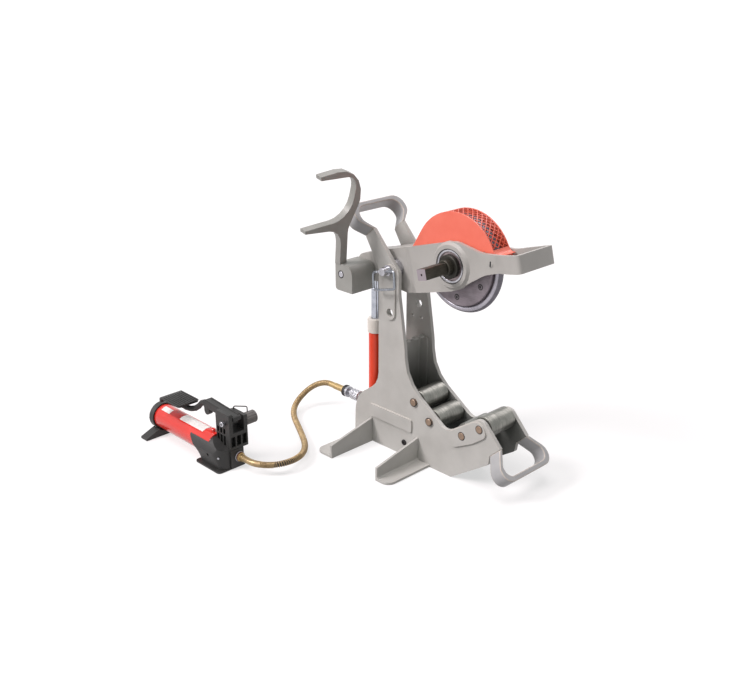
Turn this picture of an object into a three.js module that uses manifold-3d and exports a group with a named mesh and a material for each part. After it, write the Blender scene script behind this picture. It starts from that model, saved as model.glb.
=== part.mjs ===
import * as THREE from 'three';
import { NURBSCurve } from 'three/addons/curves/NURBSCurve.js';
import { mergeVertices } from 'three/addons/utils/BufferGeometryUtils.js';
import Module from 'manifold-3d';

// Power pipe cutter with a foot pump, in millimetres, +Z up, ground at z = 0.
// X runs along the frame, from the lift cylinder towards the pipe rollers, and Y along the pipe.
// The origin lies on the ground under the pipe's axis, midway between the two side plates.

const wasm = await Module();
wasm.setup();

const degrees = THREE.MathUtils.degToRad;

// Clearances: between faces that touch, between faces that run, and past the end of a cut.
// Points nearer than weld are one point.
const fit = { touch: 0.3, run: 0.5, over: 6, weld: 1e-4 };

// Largest turn of one facet along a curve, for outlines and for round bodies.
const facet = { outline: degrees(20), small: 8, medium: 12, large: 20, wheel: 36 };

// Pipe of 8 inch nominal size that the rollers are set for.
const pipe = { radius: 109.5, height: 240 };

// Side plates: a box of two plates that carries everything.
const plate = {
  thickness: 9.5, inner: 41,
  rear: 296, heelBack: 292, heelHeight: 104, heelRound: 70, stemBack: 214, stemFoot: 158,
  stemRound: 55, legFoot: 440, legRound: 20, cornerRound: 12,
  stemTop: 151, stemTopHeight: 443, stemBend: 151, stemBendHeight: 392, stemWaist: 131,
  stemWaistHeight: 270, throatX: 126, topRound: 15, bendRound: 60, waistRound: 120,
  throatRound: 105, valleyRound: 25, crestRound: 21, rollerLine: 21,
  toe: 18, toeRound: 10, bowX: 123, bowZ: 70, bowRound: 8,
};
const outer = plate.inner + plate.thickness;

// Sloping front plane that both carrying handles share: its lean, its distance from the origin,
// and where the plates end on it.
const front = { lean: degrees(43), reach: 192, topEnd: 543.7, lowEnd: 18.3 };

const roller = { radius: 25.2, bore: 9.3, pin: 8.7, play: 2, innerTurn: degrees(21.35),
  outerTurn: degrees(46.4), pinProud: 1.5, chamfer: 1 };

const pivot = { x: -179.8, z: 443.5, pin: 9.5, hole: 10 };
const lockHole = { x: -174.9, z: 344.3 };
const rivetHoles = { radius: 4.5, apart: 28, z: 312.4, x: -179 };

// Raised pads of the plates.
const pad = { proud: 4, slotHalf: 18, slotLow: 327, slotX: -177, slotTop: 457, nameLeft: 240,
  nameRight: 103, nameLow: 68, nameHigh: 100, nameRound: 5, bossStart: 13, bossStartDrop: 43.8,
  bossKneeX: 80, bossKneeDrop: 53.7, bossEndX: 119, bossEndDrop: 50.8, bossRound: 14, inset: 2 };

const web = { back: 174, thickness: 8, flange: 5, flangeEnd: 140, low: 60, high: 262,
  tabBack: 157, tabFront: 141, tabHeight: 8 };
const cross = { rear: 70, front: 12, height: 8 };

const foot = { length: 133, thickness: 6, tall: 62, tip: 33, rearFace: 240, rearWide: 50,
  frontFace: 83, frontWide: 36, corner: 20, bend: 4 };

// Carrying handles, as half widths across the frame and heights along the front plane.
const topGrip = { depth: 34, flare: 80, flareUp: 27.3, flareRound: 24, shoulder: 79,
  shoulderUp: 70, shoulderRound: 28, innerFlare: 65, innerUp: 26, innerRound: 18, innerTop: 60,
  innerCorner: 65, innerCornerRound: 24 };
const lowGrip = { depth: 36, flare: 78, flareUp: 37.7, flareRound: 25, shoulder: 77,
  shoulderUp: 72.7, shoulderRound: 24, innerFlare: 66, innerUp: 35.7, innerRound: 15,
  innerTop: 61, innerCorner: 65, innerCornerRound: 18 };

// Cutter arm, drawn in its own frame: e forward from the pivot, v up across it.
const arm = {
  rise: degrees(14.2), halfWidth: 35, waistHalf: 28, tailHalf: 37.5,
  tail: 114, tailTop: 39, tailLow: 20, tailLowE: 88, tailRound: 24, tailCorner: 5,
  topHub: 52, hubTopE: 196, lowRearE: 22, lowRear: 57.8, hub: 175, hubLowE: 170, hubLow: 55,
  hubRound: 54, neckE: 262, neckTop: 23, neckLow: 23, strapTop: 17.5, strapLow: 20, strapE: 300,
  waistFrom: -52, waistTo: 38, waistRound: 12, shoulderBack: 70, shoulderFront: 56,
  slotRear: 54, slotHalf: 27.5, slotRound: 5,
  strapHalf: 37.5, flareE: 333, flareHalf: 50, gripE: 374, gripHalf: 60.5, gripRound: 9,
  strapThick: 9, flareRound: 40, eyeSlotHalf: 14, eyeSlotFront: 70, eyeSlotRound: 6,
};
const hub = { face: 42.5, boss: 46.5, root: 53, bearing: 36.5, ringDepth: 3, ringOuter: 36.2,
  ringInner: 32, ringThick: 1.6, lip: 31 };
const pivotSpacer = { radius: 22 };

const shaft = { round: 17.5, square: 23.8, squareLength: 66, end: 128.5, far: 46, flange: 24,
  centreHole: 2.5, centreDepth: 8, chamfer: 1.5 };
const wheel = { radius: 109.5, edge: 1, shoulder: 98, halfWidth: 10 };
const disc = { radius: 93, face: 15.5, bevel: 1.5 };
const guard = { radius: 113.6, sheet: 1.6, halfWidth: 26, startTurn: degrees(13),
  endTurn: degrees(136), rearE: 60, rearV: 46, footE: 57, footV: 24, tongueE: 264, wallE: 292,
  wallLow: -10, lipE: 301, lipV: 12.5, lipBend: 3, meshStart: degrees(14),
  meshEnd: degrees(88), rim: 3, meshThick: 1.2, cellsAlong: 11, cellsAcross: 3, openShare: 0.8,
  screwE: 284, screwRadius: 4, screwHead: 6.5, screwHeadHeight: 3 };

// Tail pin: joins the rod's eye to the arm and carries the support arm.
const tailPin = { e: 98.5, v: 5, radius: 7, near: 109, far: 38.5 };
const support = { back: 18.5, front: 36.5, low: 39, high: 24, near: 108.5, inner: 37.9,
  cornerFront: 22, cornerLow: 8, lean: degrees(15), thick: 17 };

// Fork of the support arm: a stem and two prongs, as places across the frame and heights on it
const fork = {
  rootNear: -108.5, rootFar: -88.5, waist: -106, waistUp: 88, waistRound: 40,
  neck: -85, neckUp: 150, neckRound: 30, crown: -84, crownUp: 240, crownRound: 75,
  upTip: -213.5, upTipTop: 228, upTipBack: -210.5, upTipLow: 219,
  throatTop: -104, throatTopUp: 215, throatTopRound: 32, throatLow: -105, throatLowUp: 113,
  throatLowRound: 52, lowTip: -233.5, lowTipTop: 107, lowTipBack: -231.5, lowTipLow: 99,
  armpit: -126, armpitUp: 89, armpitRound: 48, sink: 12,
};

const cylinder = { x: -275, tube: 17, bore: 14, bottom: 58, floor: 6, top: 259, collar: 20,
  collarTop: 294, collarEdge: 2, collarBore: 11.3, rod: 10.75, pistonRadius: 13.4, pistonLow: 100,
  pistonHigh: 112, eyeZ: 45, eyeRadius: 13, eyeHalf: 10, pin: 7, pinHole: 7.3, pinHalf: 22,
  portZ: 70, portRadius: 11, portOut: 21 };
const rodEye = { halfY: 12.5, slotX: 4.5, slotZ: 1.2, wall: 7 };
const bracket = { back: 292, front: 258, height: 12, earThick: 8, earHalf: 15 };

const lockPin = { near: 76, far: 58, headRadius: 12.5, headLength: 4, ballRadius: 4.4,
  crossAt: 70, rivet: 3, rivetOut: 13, chamfer: 1 };
const bail = { wire: 1.9, halfWide: 34, drop: 40, lean: degrees(10), corner: 7 };

// Hose and its end fittings; the hose lies on the ground between the pump and the cylinder.
const hose = { radius: 7.6, valley: 6.5, bore: 3.2, ribs: 150, sides: 8, boreEvery: 5,
  plain: 17, lead: 10 };
const hoseRoute = [
  [-287, -356, 28], [-264, -334, 27], [-255, -304, 25], [-260, -264, 21], [-281, -227, 16],
  [-317, -193, 12], [-360, -166, 8.5], [-412, -136, 8], [-464, -108, 7.5], [-495, -79, 15.5],
  [-503, -45, 33], [-493, -19, 53], [-471, -4, 66],
];
const nipple = { radius: 7, length: 13, hexRadius: 11.5, hexLength: 8 };
const coupler = { length: 76, core: 8.6, collar: 13.6, collarLength: 11, ringRadius: 14.4,
  ringLength: 6, sleeve: 14, sleeveBore: 9.1, sleeveLength: 26, sleeveAt: 20.5, edge: 1.8,
  bore: 3.5 };
const ferrule = { radius: 8.4, length: 38, shortLength: 16, collar: 10.5, collarLength: 6,
  bore: 3.5 };

// Foot pump: a tank tube in a cast body, with a foot lever above it.
const pump = { y: -382.5, z: 45, tube: 30, tubeRear: -629, tubeFront: -404.3, cap: 34,
  capRear: -641, capFront: -623, capEdge: 2, footRear: -638, footFront: -612, footHalf: 62,
  footThick: 5, footNeck: 20, footTop: 22, outletY: -361.5, outletZ: 28 };
const pumpBase = { rear: -448, front: -354, near: -419, far: -339, thick: 4, corner: 9 };
const body = { near: -417, nearFoot: -409, creaseZ: 42, creaseRound: 1, bulgeY: -410,
  bulgeZ: 61, bulgeRound: 20, top: 70, ridgeY: -396, ridgeRound: 8, far: -349, farRound: 8,
  front: -351, core: 48, shoulderFront: -355, shoulderZ: 50, beakX: -476, beakZ: 60,
  beakTop: -458, beakRound: 4, heelX: -432, waistX: -438, waistZ: 26, waistRound: 30,
  corner: 28, holeX: -400, holeZ: 33, hole: 4, holeDepth: 8 };
const upright = { rear: -403, front: -352, near: -385, far: -334, high: 136, farHigh: 125, slotNear: -375,
  slotFar: -344, slotLow: 89, rib: 4, side: 4, pocketLow: 55, pocketHigh: 80, pocketDepth: 12,
  rowLow: 84, rowHigh: 98, sideDepth: 5, edge: 4 };
const lever = { pinX: -370, pinZ: 112, pin: 4.5, pinNear: -391, halfWidth: 11, y: -363,
  front: -350, rear: -465, top: 137.5, topFront: 129, low: 118.3, lugX: -461, lugZ: 107, lug: 9,
  neck: 7, boss: 9, edge: 5 };
const neckRoute = [[-455, -363, 128], [-477, -366, 124], [-496, -372, 105], [-520, -380, 99],
  [-551, -383, 106]];
const pedal = { rear: -583, front: -501, near: -418, far: -360, top: 121, thick: 5, lip: 10,
  lipRound: 9, corner: 8, hub: 10, hubFrom: -562, hubTo: -532, y: -383, z: 106 };
const plunger = { x: -394, radius: 6, low: 70, high: 117.6, head: 8, headHeight: 5 };
const knob = { x: -372, z: 103, radius: 15, flute: 1, flutes: 12, far: -300, stem: 3.5,
  stemDeep: 8, rim: 3 };
const latch = { wire: 1.5, x: -395, y: -339, rise: 7, reach: -318, corner: 4 };
const filler = { x: -418, radius: 6, height: 7, edge: 1.5 };

// Colours, roughness and metalness.
const paint = (color, roughness, metalness = 0) =>
  new THREE.MeshStandardMaterial({ color, roughness, metalness });
const look = {
  casting: paint(0xbcb9b6, 0.55, 0.2), orange: paint(0xf0502d, 0.5), cream: paint(0xe6e0d2, 0.6),
  chrome: paint(0xc8cdd2, 0.15, 1), roller: paint(0x646662, 0.7), dark: paint(0x3c3a32, 0.5, 0.6),
  steel: paint(0xb4b4b8, 0.3, 0.9), disc: paint(0x7d7378, 0.5, 0.5), black: paint(0x464644, 0.6),
  red: paint(0xe12d23, 0.35), brass: paint(0xa5875f, 0.4, 0.8), hose: paint(0xa5875f, 0.5, 0.5),
};

// Rounds the corners of an outline. A corner is [x, y] or [x, y, radius].
function outline(corners) {
  const points = [];
  const count = corners.length;
  corners.forEach(([x, y, radius = 0], index) => {
    const here = new THREE.Vector2(x, y);
    if (radius === 0) {
      points.push(here);
      return;
    }
    const before = new THREE.Vector2(...corners[(index + count - 1) % count]).sub(here).normalize();
    const after = new THREE.Vector2(...corners[(index + 1) % count]).sub(here).normalize();
    const half = Math.acos(THREE.MathUtils.clamp(before.dot(after), -1, 1)) / 2;
    const middle = before.clone().add(after).normalize();
    const centre = here.clone().addScaledVector(middle, radius / Math.sin(half));
    const start = here.clone().addScaledVector(before, radius / Math.tan(half)).sub(centre);
    const end = here.clone().addScaledVector(after, radius / Math.tan(half)).sub(centre);
    const turn = Math.atan2(start.cross(end), start.dot(end));
    const steps = Math.max(1, Math.ceil(Math.abs(turn) / facet.outline));
    for (let step = 0; step <= steps; step += 1) {
      points.push(start.clone().rotateAround(new THREE.Vector2(), turn * step / steps).add(centre));
    }
  });
  return points;
}

// Points of a circular arc.
function arc(x, y, radius, from, to, steps) {
  return Array.from({ length: steps + 1 }, (_, step) => {
    const turn = from + (to - from) * step / steps;
    return new THREE.Vector2(x + radius * Math.cos(turn), y + radius * Math.sin(turn));
  });
}

// A closed manifold solid from a three.js geometry.
function solid(geometry) {
  const bare = geometry.clone();
  bare.deleteAttribute('normal');
  bare.deleteAttribute('uv');
  const merged = mergeVertices(bare, fit.weld);
  const corners = merged.index.array;
  const kept = [];
  for (let at = 0; at < corners.length; at += 3) {
    const [a, b, c] = [corners[at], corners[at + 1], corners[at + 2]];
    if (a !== b && b !== c && c !== a) kept.push(a, b, c);
  }
  return new wasm.Manifold(new wasm.Mesh({
    numProp: 3,
    vertProperties: Float32Array.from(merged.getAttribute('position').array),
    triVerts: Uint32Array.from(kept),
  }));
}

// Extrudes an outline whose axes are two given directions, between two levels across them.
function extruded(points, first, second, from, to, holes = []) {
  const shape = new THREE.Shape(points);
  holes.forEach((hole) => shape.holes.push(new THREE.Path(hole)));
  const geometry = new THREE.ExtrudeGeometry(shape, { depth: to - from, bevelEnabled: false });
  const third = new THREE.Vector3().crossVectors(first, second);
  geometry.translate(0, 0, from);
  geometry.applyMatrix4(new THREE.Matrix4().makeBasis(first, second, third));
  return solid(geometry);
}

const X = new THREE.Vector3(1, 0, 0);
const Y = new THREE.Vector3(0, 1, 0);
const Z = new THREE.Vector3(0, 0, 1);
const alongX = (points, from, to, holes) => extruded(points, Y, Z, from, to, holes);
const alongY = (points, from, to, holes) => extruded(points, X, Z, -to, -from, holes);
const alongZ = (points, from, to, holes) => extruded(points, X, Y, from, to, holes);

// A rectangle as an outline, with an optional corner radius.
const rectangle = (x0, y0, x1, y1, radius = 0) =>
  outline([[x0, y0, radius], [x1, y0, radius], [x1, y1, radius], [x0, y1, radius]]);
const box = (x0, x1, y0, y1, z0, z1) => alongZ(rectangle(x0, y0, x1, y1), z0, z1);

// A round bar, or a stepped round body, along an axis direction through a point.
function turned(profile, sides, direction, centre) {
  const geometry = new THREE.LatheGeometry(profile.map(([r, at]) => new THREE.Vector2(r, at)), sides);
  const turn = new THREE.Quaternion().setFromUnitVectors(Y, direction);
  geometry.applyQuaternion(turn);
  geometry.translate(...centre);
  return solid(geometry);
}
const bar = (radius, from, to, sides, direction, centre) =>
  turned([[0, from], [radius, from], [radius, to], [0, to]], sides, direction, centre);
const sleeve = (outside, inside, from, to, sides, direction, centre) => turned(
  [[inside, from], [outside, from], [outside, to], [inside, to], [inside, from]],
  sides, direction, centre);

// A round bar along Y through a point of the X-Z plane.
const barY = (radius, x, z, from, to, sides = facet.medium) =>
  bar(radius, from, to, sides, Y, [x, 0, z]);

const assembly = new THREE.Group();

// Adds a solid to a group as a named mesh.
function piece(name, body, material, group = assembly) {
  const { vertProperties, triVerts } = body.getMesh();
  const geometry = new THREE.BufferGeometry();
  geometry.setAttribute('position', new THREE.BufferAttribute(vertProperties, 3));
  geometry.setIndex(new THREE.BufferAttribute(triVerts, 1));
  const mesh = new THREE.Mesh(geometry, material);
  mesh.name = name;
  group.add(mesh);
}

// Rollers lie on a circle about the pipe, so that each one touches it.
const rollerSpots = [
  ['rear_outer', -roller.outerTurn], ['rear_inner', -roller.innerTurn],
  ['front_inner', roller.innerTurn], ['front_outer', roller.outerTurn],
].map(([name, turn]) => {
  const reach = pipe.radius + roller.radius;
  return { name, x: reach * Math.sin(turn), z: pipe.height - reach * Math.cos(turn) };
});

// The front plane: distances across it and along it give a point of the X-Z plane.
const across = new THREE.Vector3(Math.cos(front.lean), 0, Math.sin(front.lean));
const upward = new THREE.Vector3(-Math.sin(front.lean), 0, Math.cos(front.lean));
function onFront(depth, along) {
  const level = front.reach - depth;
  return [across.x * level + upward.x * along, across.z * level + upward.z * along];
}

// Side plates
const inner = rollerSpots[2];
const last = rollerSpots[3];
const slope = Math.atan2(last.z - inner.z, last.x - inner.x);
const valley = inner.z - inner.x * Math.tan(slope) + plate.rollerLine / Math.cos(slope);
const channelAt = (x) => valley + Math.abs(x) * Math.tan(slope);
const crestX = (front.reach - across.z * valley) / (across.x + across.z * Math.tan(slope));

function plateOutline() {
  return outline([
    [-plate.rear, 0, plate.cornerRound],
    [-plate.heelBack, plate.heelHeight, plate.heelRound],
    [-plate.stemBack, plate.stemFoot, plate.stemRound],
    [-plate.stemBack, plate.legFoot, plate.legRound],
    onFront(topGrip.depth, front.topEnd),
    onFront(0, front.topEnd),
    [-plate.stemTop, plate.stemTopHeight, plate.topRound],
    [-plate.stemBend, plate.stemBendHeight, plate.bendRound],
    [-plate.stemWaist, plate.stemWaistHeight, plate.waistRound],
    [-plate.throatX, channelAt(plate.throatX), plate.throatRound],
    [0, valley, plate.valleyRound],
    [crestX, channelAt(crestX), plate.crestRound],
    onFront(0, -front.lowEnd),
    onFront(lowGrip.depth, -front.lowEnd),
    [plate.bowX, plate.bowZ, plate.bowRound],
    [plate.toe, 0, plate.toeRound],
  ]);
}

function plateHoles() {
  const half = outer + pad.proud + fit.over;
  const holes = rollerSpots.map((spot) =>
    barY(roller.pin + fit.touch, spot.x, spot.z, -half, half));
  holes.push(barY(pivot.hole, pivot.x, pivot.z, -half, half));
  holes.push(barY(pivot.hole, lockHole.x, lockHole.z, -half, half));
  return holes;
}

// The raised slot-shaped pad behind the pivot and its lower hole, and the raised edge at the
// front rollers.
function platePads(from, to) {
  const slot = alongY(outline([
    [pad.slotX - pad.slotHalf, pad.slotLow, pad.slotHalf - fit.touch],
    [pad.slotX + pad.slotHalf, pad.slotLow, pad.slotHalf - fit.touch],
    [pad.slotX + pad.slotHalf, pad.slotTop, pad.slotHalf - fit.touch],
    [pad.slotX - pad.slotHalf, pad.slotTop, pad.slotHalf - fit.touch],
  ]), from, to);
  const boss = alongY(outline([
    [pad.bossStart, channelAt(pad.bossStart) - pad.bossStartDrop, pad.bossRound],
    [pad.bossStart, channelAt(pad.bossStart) - pad.inset],
    [crestX - pad.inset, channelAt(crestX - pad.inset) - pad.inset, plate.crestRound],
    [pad.bossEndX, channelAt(pad.bossEndX) - pad.bossEndDrop, pad.bossRound],
    [pad.bossKneeX, channelAt(pad.bossKneeX) - pad.bossKneeDrop, pad.bossRound],
  ]), from, to);
  return [slot, boss];
}

function sidePlate(side) {
  const [from, to] = side < 0 ? [-outer, -plate.inner] : [plate.inner, outer];
  const [low, high] = side < 0 ? [from - pad.proud, to] : [from, to + pad.proud];
  let body = alongY(plateOutline(), from, to);
  platePads(low, high).forEach((raised) => { body = body.add(raised); });
  if (side < 0) {
    body = body.add(alongY(rectangle(-pad.nameLeft, pad.nameLow, -pad.nameRight, pad.nameHigh,
      pad.nameRound), low, to));
  } else {
    [-1, 1].forEach((end) => {
      body = body.subtract(barY(rivetHoles.radius, rivetHoles.x + end * rivetHoles.apart / 2,
        rivetHoles.z, from - fit.over, high + fit.over, facet.small));
    });
  }
  plateHoles().forEach((hole) => { body = body.subtract(hole); });
  return body;
}
piece('near_side_plate', sidePlate(-1), look.casting);
piece('far_side_plate', sidePlate(1), look.casting);

// Web between the plates: a channel that opens towards the pipe, with two small rests on top.
const between = plate.inner - fit.touch;
function rearWeb() {
  const lip = between - web.flange;
  let body = alongZ(outline([
    [-web.back, -between], [-web.flangeEnd, -between], [-web.flangeEnd, -lip],
    [-web.back + web.thickness, -lip, web.flange], [-web.back + web.thickness, lip, web.flange],
    [-web.flangeEnd, lip], [-web.flangeEnd, between], [-web.back, between],
  ]), web.low, web.high);
  [[-between, -lip], [lip, between]].forEach(([from, to]) => {
    body = body.add(box(-web.tabBack, -web.tabFront, from, to, web.low, web.high + web.tabHeight));
  });
  return body;
}
piece('rear_web_channel', rearWeb(), look.casting);
piece('base_cross_plate', box(-cross.rear, cross.front, -between, between, 0, cross.height),
  look.casting);

// Feet: steel angles that stand against the near plate.
function angleFoot(face, wide) {
  const heading = Math.sign(wide);
  const wallFrom = face;
  const wallTo = face - heading * foot.thickness;
  const start = -outer - fit.touch;
  const end = start - foot.length;
  const tip = face + wide;
  const wall = alongX(
    [[start, 0], [start, foot.tall], [end, foot.tip], [end, 0]].map(([y, z]) =>
      new THREE.Vector2(y, z)),
    Math.min(wallFrom, wallTo), Math.max(wallFrom, wallTo));
  const floor = alongZ(outline([
    [wallTo, start], [wallTo, end], [tip, end, foot.corner], [tip, start],
  ]), 0, foot.thickness);
  const root = foot.thickness + foot.bend;
  const bend = alongY(
    [[face, foot.thickness - fit.touch], [face, root], [face + heading * foot.bend,
      foot.thickness], [face + heading * foot.bend, foot.thickness - fit.touch]].map(([x, z]) =>
      new THREE.Vector2(x, z)), end, start);
  return wall.add(floor).add(bend);
}
piece('rear_foot', angleFoot(-foot.rearFace, -foot.rearWide), look.casting);
piece('front_foot', angleFoot(-foot.frontFace, foot.frontWide), look.casting);

// Carrying handles: flared loops on the sloping front plane.
function handle(grip, end, heading) {
  const up = upward.clone().multiplyScalar(heading);
  const start = end + fit.touch;
  const levels = heading > 0 ? [front.reach - grip.depth, front.reach]
    : [-front.reach, grip.depth - front.reach];
  const half = [
    [outer, start], [grip.flare, end + grip.flareUp, grip.flareRound],
    [grip.shoulder, end + grip.shoulderUp, grip.shoulderRound],
  ];
  const innerHalf = [
    [grip.innerCorner, end + grip.innerTop, grip.innerCornerRound],
    [grip.innerFlare, end + grip.innerUp, grip.innerRound], [plate.inner, start],
  ];
  const mirrored = (list) => list.map(([y, s, r]) => [-y, s, r]).reverse();
  const loop = outline([...half, ...mirrored(half), ...mirrored(innerHalf), ...innerHalf]);
  return extruded(loop, Y, up, levels[0], levels[1]);
}
piece('top_handle', handle(topGrip, front.topEnd, 1), look.casting);
piece('front_handle', handle(lowGrip, front.lowEnd, -1), look.casting);

// Rollers on their pins
rollerSpots.forEach((spot) => {
  const reach = outer + pad.proud + roller.pinProud;
  const edge = roller.chamfer;
  const pinBody = turned([[0, -reach], [roller.pin - edge, -reach], [roller.pin, edge - reach],
    [roller.pin, reach - edge], [roller.pin - edge, reach], [0, reach]], facet.medium, Y,
  [spot.x, 0, spot.z]);
  piece(`${spot.name}_roller_pin`, pinBody, look.steel);
  const half = plate.inner - roller.play;
  const tread = roller.radius;
  const body = turned([[roller.bore, -half], [tread - edge, -half], [tread, edge - half],
    [tread, half - edge], [tread - edge, half], [roller.bore, half], [roller.bore, -half]],
  facet.large, Y, [spot.x, 0, spot.z]);
  piece(`${spot.name}_roller`, body, look.roller);
});

// Cutter arm: one casting with a rear clevis, two cheeks about the wheel and a strap handle.
const armGroup = new THREE.Group();
armGroup.position.set(pivot.x, 0, pivot.z);
armGroup.rotation.y = -arm.rise;
assembly.add(armGroup);

function armSideOutline() {
  const beyond = arm.gripE + fit.over;
  return outline([
    [-arm.tail, arm.tailTop, arm.tailRound],
    [arm.hubTopE, arm.topHub, arm.hubRound],
    [arm.neckE, arm.neckTop, arm.hubRound],
    [arm.strapE, arm.strapTop],
    [beyond, arm.strapTop], [beyond, -arm.strapLow],
    [arm.strapE, -arm.strapLow],
    [arm.neckE, -arm.neckLow, arm.hubRound],
    [arm.hubLowE, -arm.hubLow, arm.hubRound],
    [arm.lowRearE, -arm.lowRear, arm.tailRound],
    [-arm.tailLowE, -arm.tailLow, arm.tailCorner],
    [-arm.tail, -arm.tailLow, arm.tailRound],
  ]);
}

function armPlanOutline() {
  const half = [
    [-arm.tail, arm.tailHalf],
    [-arm.shoulderBack, arm.tailHalf, arm.waistRound / 2],
    [arm.waistFrom, arm.waistHalf, arm.waistRound],
    [arm.waistTo, arm.waistHalf, arm.waistRound],
    [arm.shoulderFront, arm.halfWidth, arm.waistRound / 2],
    [arm.strapE, arm.strapHalf, arm.flareRound],
    [arm.flareE, arm.flareHalf, arm.flareRound],
    [arm.gripE, arm.gripHalf, arm.gripRound],
  ];
  const mirrored = half.map(([e, y, r]) => [e, -y, r]).reverse();
  return outline([...half, ...mirrored]);
}

function armSlotOutline() {
  const thick = arm.strapThick;
  const half = [
    [arm.slotRear, arm.slotHalf, arm.slotRound],
    [arm.strapE, arm.strapHalf - thick, arm.flareRound / 2],
    [arm.flareE, arm.flareHalf - thick, arm.flareRound / 2],
    [arm.gripE - thick, arm.gripHalf - thick, arm.gripRound / 2],
  ];
  const mirrored = half.map(([e, y, r]) => [e, -y, r]).reverse();
  return outline([...half, ...mirrored]);
}

function cutterArm() {
  const tall = arm.lowRear + fit.over;
  const high = arm.topHub + fit.over;
  let body = alongZ(armPlanOutline(), -tall, high);
  body = body.intersect(alongY(armSideOutline(), -arm.gripHalf, arm.gripHalf));
  const seat = arm.hub;
  [-1, 1].forEach((side) => {
    const from = arm.slotHalf + fit.touch;
    body = body.add(turned([[0, from], [hub.root, from], [hub.root, arm.halfWidth],
      [hub.boss, hub.face], [0, hub.face]], facet.large, Y.clone().multiplyScalar(side),
    [seat, 0, 0]));
  });
  body = body.subtract(alongZ(armSlotOutline(), -tall, high));
  body = body.subtract(alongZ(outline([
    [-arm.tail - fit.over, -arm.eyeSlotHalf],
    [-arm.eyeSlotFront, -arm.eyeSlotHalf, arm.eyeSlotRound],
    [-arm.eyeSlotFront, arm.eyeSlotHalf, arm.eyeSlotRound],
    [-arm.tail - fit.over, arm.eyeSlotHalf],
  ]), -tall, high));
  const through = hub.face + fit.over;
  body = body.subtract(barY(hub.bearing, seat, 0, -through, through, facet.large));
  body = body.subtract(barY(pivot.hole, 0, 0, -through, through));
  const pinAt = [-tailPin.e, tailPin.v];
  body = body.subtract(barY(tailPin.radius + fit.touch, ...pinAt, -through, through));
  body = body.subtract(barY(guard.screwRadius + fit.touch, guard.screwE, 0, -through, through,
    facet.small));
  return body;
}
piece('cutter_arm', cutterArm(), look.casting, armGroup);

// Spacers on the pivot pin hold the arm midway between the plates.
[['near', -1], ['far', 1]].forEach(([side, sign]) => {
  const direction = Y.clone().multiplyScalar(sign);
  piece(`${side}_pivot_spacer`, sleeve(pivotSpacer.radius, pivot.hole,
    arm.waistHalf + fit.touch, plate.inner - fit.run, facet.medium, direction, [0, 0, 0]),
  look.steel, armGroup);

  // Shielded ball bearing and the snap ring that keeps it in the hub
  const outward = hub.face - hub.ringDepth;
  const dish = hub.ringThick;
  const bearing = turned([
    [shaft.round + fit.touch, arm.slotHalf], [hub.ringOuter, arm.slotHalf],
    [hub.ringOuter, outward - fit.touch], [hub.lip, outward - fit.touch],
    [hub.lip, outward - dish], [shaft.flange, outward - dish],
    [shaft.flange, outward - fit.touch], [shaft.round + fit.touch, outward - fit.touch],
    [shaft.round + fit.touch, arm.slotHalf],
  ], facet.large, direction, [arm.hub, 0, 0]);
  piece(`${side}_hub_bearing`, bearing, look.steel, armGroup);
  piece(`${side}_snap_ring`, sleeve(hub.ringOuter, hub.ringInner, outward,
    outward + hub.ringThick, facet.large, direction, [arm.hub, 0, 0]), look.dark, armGroup);

  // Guard screws go from outside a cheek into the guard's side.
  const head = arm.halfWidth + guard.screwHeadHeight;
  const screw = turned([[0, guard.halfWidth + fit.touch],
    [guard.screwRadius, guard.halfWidth + fit.touch],
    [guard.screwRadius, head + fit.run], [guard.screwHead, head + fit.run],
    [guard.screwHead, head + guard.screwHeadHeight], [0, head + guard.screwHeadHeight]],
  facet.small, direction, [guard.screwE, 0, 0]);
  piece(`${side}_guard_screw`, screw, look.dark, armGroup);
});

// Drive shaft with its square end, the cutting wheel and the two discs that clamp it
function driveShaft() {
  const half = shaft.square / 2;
  const shoulder = shaft.end - shaft.squareLength;
  const edge = shaft.chamfer;
  let body = turned([[0, -shoulder], [shaft.round - edge, -shoulder],
    [shaft.round, edge - shoulder], [shaft.round, shaft.far - edge],
    [shaft.round - edge, shaft.far], [0, shaft.far]], facet.large, Y, [arm.hub, 0, 0]);
  const square = alongY(rectangle(arm.hub - half, -half, arm.hub + half, half, edge),
    -shaft.end, -shoulder + fit.over);
  body = body.add(square);
  return body.subtract(barY(shaft.centreHole, arm.hub, 0, -shaft.end - fit.over,
    shaft.centreDepth - shaft.end, facet.small));
}
piece('drive_shaft', driveShaft(), look.dark, armGroup);

const onShaft = shaft.round + fit.touch;
piece('cutter_wheel', turned([
  [onShaft, -wheel.halfWidth], [wheel.shoulder, -wheel.halfWidth], [wheel.radius, -wheel.edge],
  [wheel.radius, wheel.edge], [wheel.shoulder, wheel.halfWidth], [onShaft, wheel.halfWidth],
  [onShaft, -wheel.halfWidth],
], facet.wheel, Y, [arm.hub, 0, 0]), look.steel, armGroup);
[['near', -1], ['far', 1]].forEach(([side, sign]) => {
  const from = wheel.halfWidth + fit.touch;
  piece(`${side}_wheel_disc`, turned([
    [onShaft, from], [disc.radius, from], [disc.radius, disc.face - disc.bevel],
    [disc.radius - disc.bevel, disc.face], [onShaft, disc.face], [onShaft, from],
  ], facet.wheel, Y.clone().multiplyScalar(sign), [arm.hub, 0, 0]), look.disc, armGroup);
});

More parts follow.
